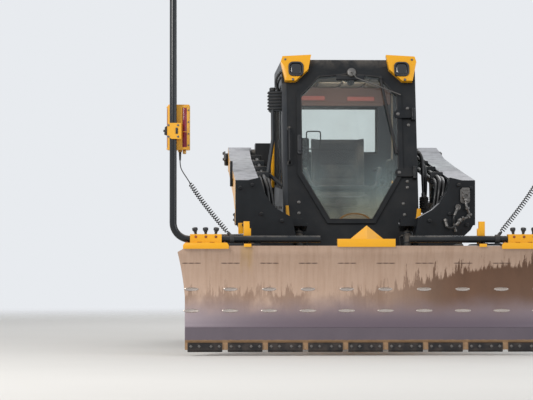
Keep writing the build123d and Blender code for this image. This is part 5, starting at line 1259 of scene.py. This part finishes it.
# Cab sides and rear: window seals, sliding halves with catches, gutter and working lamps
SIDE_LINE = [(-0.427, 1.18), (0.88, 1.24), (0.88, 1.96), (-0.233, 1.96)]
REAR_LINE = [(-0.33, 1.5), (0.33, 1.5), (0.33, 1.88), (-0.33, 1.88)]
seals, slides, catches = Shape(), Shape(), Shape()
for side, hand in SIDES:
    line = [(side * y, z) for y, z in SIDE_LINE][::side]
    place = (Vector((side * 0.4818, 0, 0)), Y * side, Z)
    surround(seals, line, inset(line, 0.022), place, 0.0, 0.008)
    surround(seals, inset(line, -0.004), inset(line, 0.009), place, 0.012, 0.0215)
    low, high = sorted((side * 0.4825, side * 0.4895))
    slides.box((low, 0.29, 1.215), (high, 0.318, 1.957), 0.0015)
    slides.box((low, 0.322, 1.219), (high, 0.334, 1.957), 0.0015)
    low, high = sorted((side * 0.4815, side * 0.4875))
    slides.box((low, -0.39, 1.213), (high, 0.86, 1.224), 0.0015)
    catches.pad((0.03, 0.07, 0.008), (side * 0.489, 0.304, 1.55), Y * side, Z, 0.006, 0.002)
    catches.pad((0.012, 0.03, 0.004), (side * 0.494, 0.304, 1.56), Y * side, Z, 0.006, 0.002)
place = (Vector((0, 0.9766, 0)), -X, Z)
surround(seals, REAR_LINE, inset(REAR_LINE, 0.02), place, 0.0, 0.008)
surround(seals, inset(REAR_LINE, -0.004), inset(REAR_LINE, 0.008), place, 0.016, 0.0265)
piece("cab_window_seals", seals, boot_rubber, bevel=0.0008)
piece("cab_window_slides", slides, grey)
piece("cab_window_catches", catches, knob_black, bevel=0.0006)
rear_lamps, rear_lenses = Shape(), Shape()
for side, hand in SIDES:
    place = (Vector((side * REAR_LAMP_X, 1.0, 2.02)), -X, Z)
    rear_lamps.pad((0.11, 0.1, 0.024), (side * REAR_LAMP_X, 1.0, 2.02), -X, Z, 0.034, 0.004)
    surround(rear_lamps, rounded(0.11, 0.1, 0.024), rounded(0.092, 0.082, 0.018), place, 0.03, 0.042)
    rear_lamps.box((side * REAR_LAMP_X - 0.016, 0.998, 1.95), (side * REAR_LAMP_X + 0.016, 1.02, 1.975),
        0.004)
    dome(rear_lenses, rounded(0.094, 0.084, 0.018), place, ((0.032, 1), (0.038, 0.97), (0.041, 0.7),
        (0.042, 0.02)))
piece("rear_lamp_rims", rear_lamps, knob_black, bevel=0.001)
piece("rear_lamp_glass", rear_lenses, lens_glass, angle=60)
CAB_SIDE_BOLTS = ((-0.36, 1.04), (0.0, 1.05), (0.4, 1.06), (0.8, 1.07), (0.93, 1.3), (0.93, 1.6),
    (0.93, 1.88), (0.6, 2.03), (0.2, 2.03), (-0.15, 2.03))
COVER_BOLTS = ((1.02, 0.76), (1.02, 1.32), (1.25, 0.78), (1.25, 1.34), (1.86, 1.34))
side_bolts = Shape()
for side, hand in SIDES:
    for x, spots in ((0.5, CAB_SIDE_BOLTS), (0.48, COVER_BOLTS)):
        side_bolts.bolts([(side * x, y, z) for y, z in spots], X * side, 0.018)
piece("cab_side_bolts", side_bolts, bolt_steel, bevel=0.0005)

# Steps on the tub's front, cap of the kingpin, and nipples on the blade's joints
STEP_X, STEP_HALF = 0.24, 0.13
steps, caps_low, nipples = Shape(), Shape(), Shape()
for side, hand in SIDES:
    low, high = side * STEP_X - STEP_HALF, side * STEP_X + STEP_HALF
    steps.box((low, -0.5, 0.628), (high, -0.419, 0.636), 0.002)
    steps.box((low, -0.503, 0.6), (high, -0.495, 0.636), 0.002)
    for x in (low + 0.004, high - 0.004):
        steps.prism([(-0.5, 0.632), (-0.419, 0.54), (-0.419, 0.632)], (x - 0.003, 0, 0), Y, Z, 0.006)
    for i in range(12):
        x = low + 0.016 + 0.0208 * i
        steps.prism([(x - 0.007, 0.636), (x + 0.007, 0.636), (x, 0.648)], (0, -0.44, 0), X, Z, 0.05)
piece("front_steps", steps, textured, bevel=0.0006)
caps_low.turned((0, KINGPIN_Y, 0.515), Z, ((0, 0.032), (0.004, 0.05), (0.014, 0.05), (0.018, 0.045)), 36)
caps_low.bolts([(a, KINGPIN_Y + b, 0.531) for a, b in circle(4, 0.034, phase=0.5)], Z, 0.014)
caps_low.nipple((0, KINGPIN_Y, 0.533), Z)
for side, hand in SIDES:
    caps_low.turned((side * ANGLE_BASE[0], ANGLE_BASE[1], 0.4455), Z,
        ((0, 0.018), (0.002, 0.026), (0.008, 0.026), (0.011, 0.022)), 28)
    caps_low.bolts([(side * x, -1.148, z) for x in (0.3, 0.5) for z in (0.23, 0.33, 0.5)], -Y, 0.026)
piece("push_frame_bolts", caps_low, bolt_steel, "tool", bevel=0.0005)
nipples.nipple((0.29, -1.75, 0.63), Z)
for side, hand in SIDES:
    for x in (0.5, 1.0):
        nipples.pad((0.08, 0.05, 0.008), (side * x, -1.75, 0.595), -X, Z, 0.006, 0.002)
        nipples.bolts([(side * x + step, -1.744, 0.595) for step in (-0.02, 0.02)], Y, 0.018)
piece("blade_back_bolts", nipples, rust, "blade", bevel=0.0005)


# Seat: cushions swollen by cloth pressure, then sewn into channels
def stuffed(name, node, outline, cap):
    """A cushion from an outline across the seat, blown up in its node's place and capped."""
    low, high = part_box(node)
    shape = Shape()
    shape.prism(*outline)
    made = as_object(name, shape)
    scene = bpy.context.scene
    coarse = made.modifiers.new("remesh", "REMESH")
    coarse.mode = "VOXEL"
    coarse.voxel_size = 0.0075
    bake(made)
    before = [vert.co.copy() for vert in made.data.vertices]
    cloth = made.modifiers.new("cloth", "CLOTH")
    cloth.settings.use_pressure = True
    cloth.settings.uniform_pressure_force = 4
    cloth.settings.effector_weights.gravity = 0
    for step in range(1, 21):
        scene.frame_set(step)
    bake(made)
    scene.frame_set(1)
    for vert, start in zip(made.data.vertices, before):
        moved = vert.co - start
        if moved.length > cap:
            vert.co = start + moved.normalized() * cap
        for i in range(3):
            vert.co[i] = min(max(vert.co[i], low[i] + 0.001), high[i] - 0.001)
    return made


def bake(made):
    """Apply an object's modifiers to its mesh."""
    graph = bpy.context.evaluated_depsgraph_get()
    mesh = bpy.data.meshes.new_from_object(made.evaluated_get(graph))
    made.modifiers.clear()
    made.data = mesh


def sewn(made, lines, depth, width):
    """Press channels in where the distance to a seam, given as a function of a point, is small."""
    for vert in made.data.vertices:
        away = lines(vert.co, vert.normal)
        vert.co -= vert.normal * depth * math.exp(-(away / width) ** 2)
    made.data.shade_smooth()
    smooth = made.modifiers.new("smooth", "SUBSURF")
    smooth.levels = smooth.render_levels = 1
    bake(made)
    made.data.shade_smooth()
    made.data.materials.append(seat_cloth)


def seat_seams(at, normal):
    """Distance of a point on the cushion's top from its seams."""
    if normal.z < 0.2:
        return abs(at.z - 1.122) + 0.004
    across = abs(abs(at.x) - 0.152)
    return across if abs(at.x) > 0.152 else min(across, *(abs(at.y - y) for y in (0.415, 0.52, 0.625)))


def back_seams(at, normal):
    """Distance of a point on the backrest's front from its seams."""
    if normal.y > -0.3:
        return 1
    across = abs(abs(at.x) - 0.15)
    return across if abs(at.x) > 0.15 else min(across, *(abs(at.z - z) for z in (1.19, 1.3, 1.41, 1.52)))


SEAT_LINE = [(-0.228, 1.072), (0.228, 1.072), (0.228, 1.142), (0.205, 1.15), (0.168, 1.148),
    (0.148, 1.136), (-0.148, 1.136), (-0.168, 1.148), (-0.205, 1.15), (-0.228, 1.142)]
BACK_LINE = [(-0.222, -0.04), (-0.148, -0.03), (0.148, -0.03), (0.222, -0.04), (0.222, 0.034),
    (-0.222, 0.034)]
BACK_UP = Vector((0, 0.055, 0.55)).normalized()
cushion = stuffed("seat_pad", "seat_cushion", (SEAT_LINE, (0, 0.32, 0), X, Z, -0.446), 0.012)
sewn(cushion, seat_seams, 0.007, 0.007)
backrest = stuffed("seat_back_pad", "seat_back", (BACK_LINE, Vector((0, 0.832, 1.077)), X,
    BACK_UP.cross(X), 0.55), 0.012)
sewn(backrest, back_seams, 0.007, 0.007)
for made, node in ((cushion, "seat_cushion"), (backrest, "seat_back")):
    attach(made, "chassis")
    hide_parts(node)

# Softened edges of the CAD nodes
for part in frame["record"]["subparts"]:
    if part["node"] not in NO_BEVEL:
        joined = nodes[part["node"]].modifiers.new("joined", "WELD")
        joined.merge_threshold = 0.00002
        soften(nodes[part["node"]], 0.0025)


# Studio: a floor that fades out, soft lamps and a plain pale world
FLOOR_R = 30
FLOOR_FADE = (5, 16)
floor_shape = Shape()
floor_shape.turned((0, 0, -0.02), (0, 0, 1), ((0, FLOOR_R), (0.02, FLOOR_R)), 96)
floor = as_object("floor", floor_shape)
ground = Finish("floor", 0.9)
ground.set("Base Color", ground.mix(ground.noise(0.8), (222, 220, 216), (216, 214, 210)))
spread = ground.node("VectorMath")
spread.operation = "LENGTH"
ground.link(ground.place.outputs["Object"], spread.inputs[0])
beyond = ground.node("BsdfTransparent")
fade = ground.band(spread.outputs["Value"], *FLOOR_FADE)
ground.surface(ground.blend(fade, ground.shader.outputs[0], beyond.outputs[0]))
floor.data.materials.append(ground.made)

world = bpy.data.worlds.new("studio")
bpy.context.scene.world = world
world.use_nodes = True
sky = world.node_tree.nodes
wires = world.node_tree.links
rays = sky.new("ShaderNodeLightPath").outputs
shown = rays["Is Camera Ray"]
for kind in ("Is Transmission Ray", "Is Glossy Ray"):
    either = sky.new("ShaderNodeMath")
    either.operation = "MAXIMUM"
    wires.new(shown, either.inputs[0])
    wires.new(rays[kind], either.inputs[1])
    shown = either.outputs[0]
dim = sky["Background"]
dim.inputs["Color"].default_value = (0.95, 0.97, 1, 1)
dim.inputs["Strength"].default_value = 0.62
pale = sky.new("ShaderNodeBackground")
pale.inputs["Color"].default_value = colour(232, 235, 239)
pale.inputs["Strength"].default_value = 1.0
both = sky.new("ShaderNodeMixShader")
for output, socket in zip((shown, dim.outputs[0], pale.outputs[0]), both.inputs):
    wires.new(output, socket)
wires.new(both.outputs[0], sky["World Output"].inputs["Surface"])


def lamp(name, at, target, size, power, tint=(1, 1, 1)):
    """A soft square lamp aimed at a point."""
    light = bpy.data.lights.new(name, "AREA")
    light.size = size
    light.energy = power
    light.color = tint
    made = placed(name, light)
    made.location = at
    made.rotation_euler = (Vector(target) - Vector(at)).to_track_quat("-Z", "Y").to_euler()
    made.visible_camera = made.visible_transmission = False
    made.visible_glossy = name != "cab"


lamp("key", (-7, -9, 6.5), (0, -0.5, 1), 4, 760, (1, 0.97, 0.93))
lamp("fill", (9, -7, 4), (0, 0, 1), 6, 260, (0.94, 0.97, 1))
lamp("back", (4, 10, 7), (0, 0.5, 1), 6, 260)
lamp("cab", (0, 0.2, 1.97), (0, 0.9, 1.3), 0.35, 7)

# Camera: where the photograph was taken from, found from its vanishing point and horizon
PHOTO_WIDTH, PHOTO_HEIGHT = 533, 400
FOCAL_PX = 2365
VANISHING_X, HORIZON_Y = 180, 262
SENSOR = 36
view = bpy.data.cameras.new("camera")
view.sensor_width = SENSOR
view.lens = FOCAL_PX / PHOTO_WIDTH * SENSOR
camera = placed("camera", view)
camera.location = (-1.258, -18.0, 0.635)
yaw = math.atan((PHOTO_WIDTH / 2 - VANISHING_X) / FOCAL_PX)
pitch = math.atan((HORIZON_Y - PHOTO_HEIGHT / 2) / FOCAL_PX)
camera.rotation_euler = (math.pi / 2 + pitch, 0, -yaw)
bpy.context.scene.camera = camera
bpy.context.scene.view_settings.view_transform = "Standard"
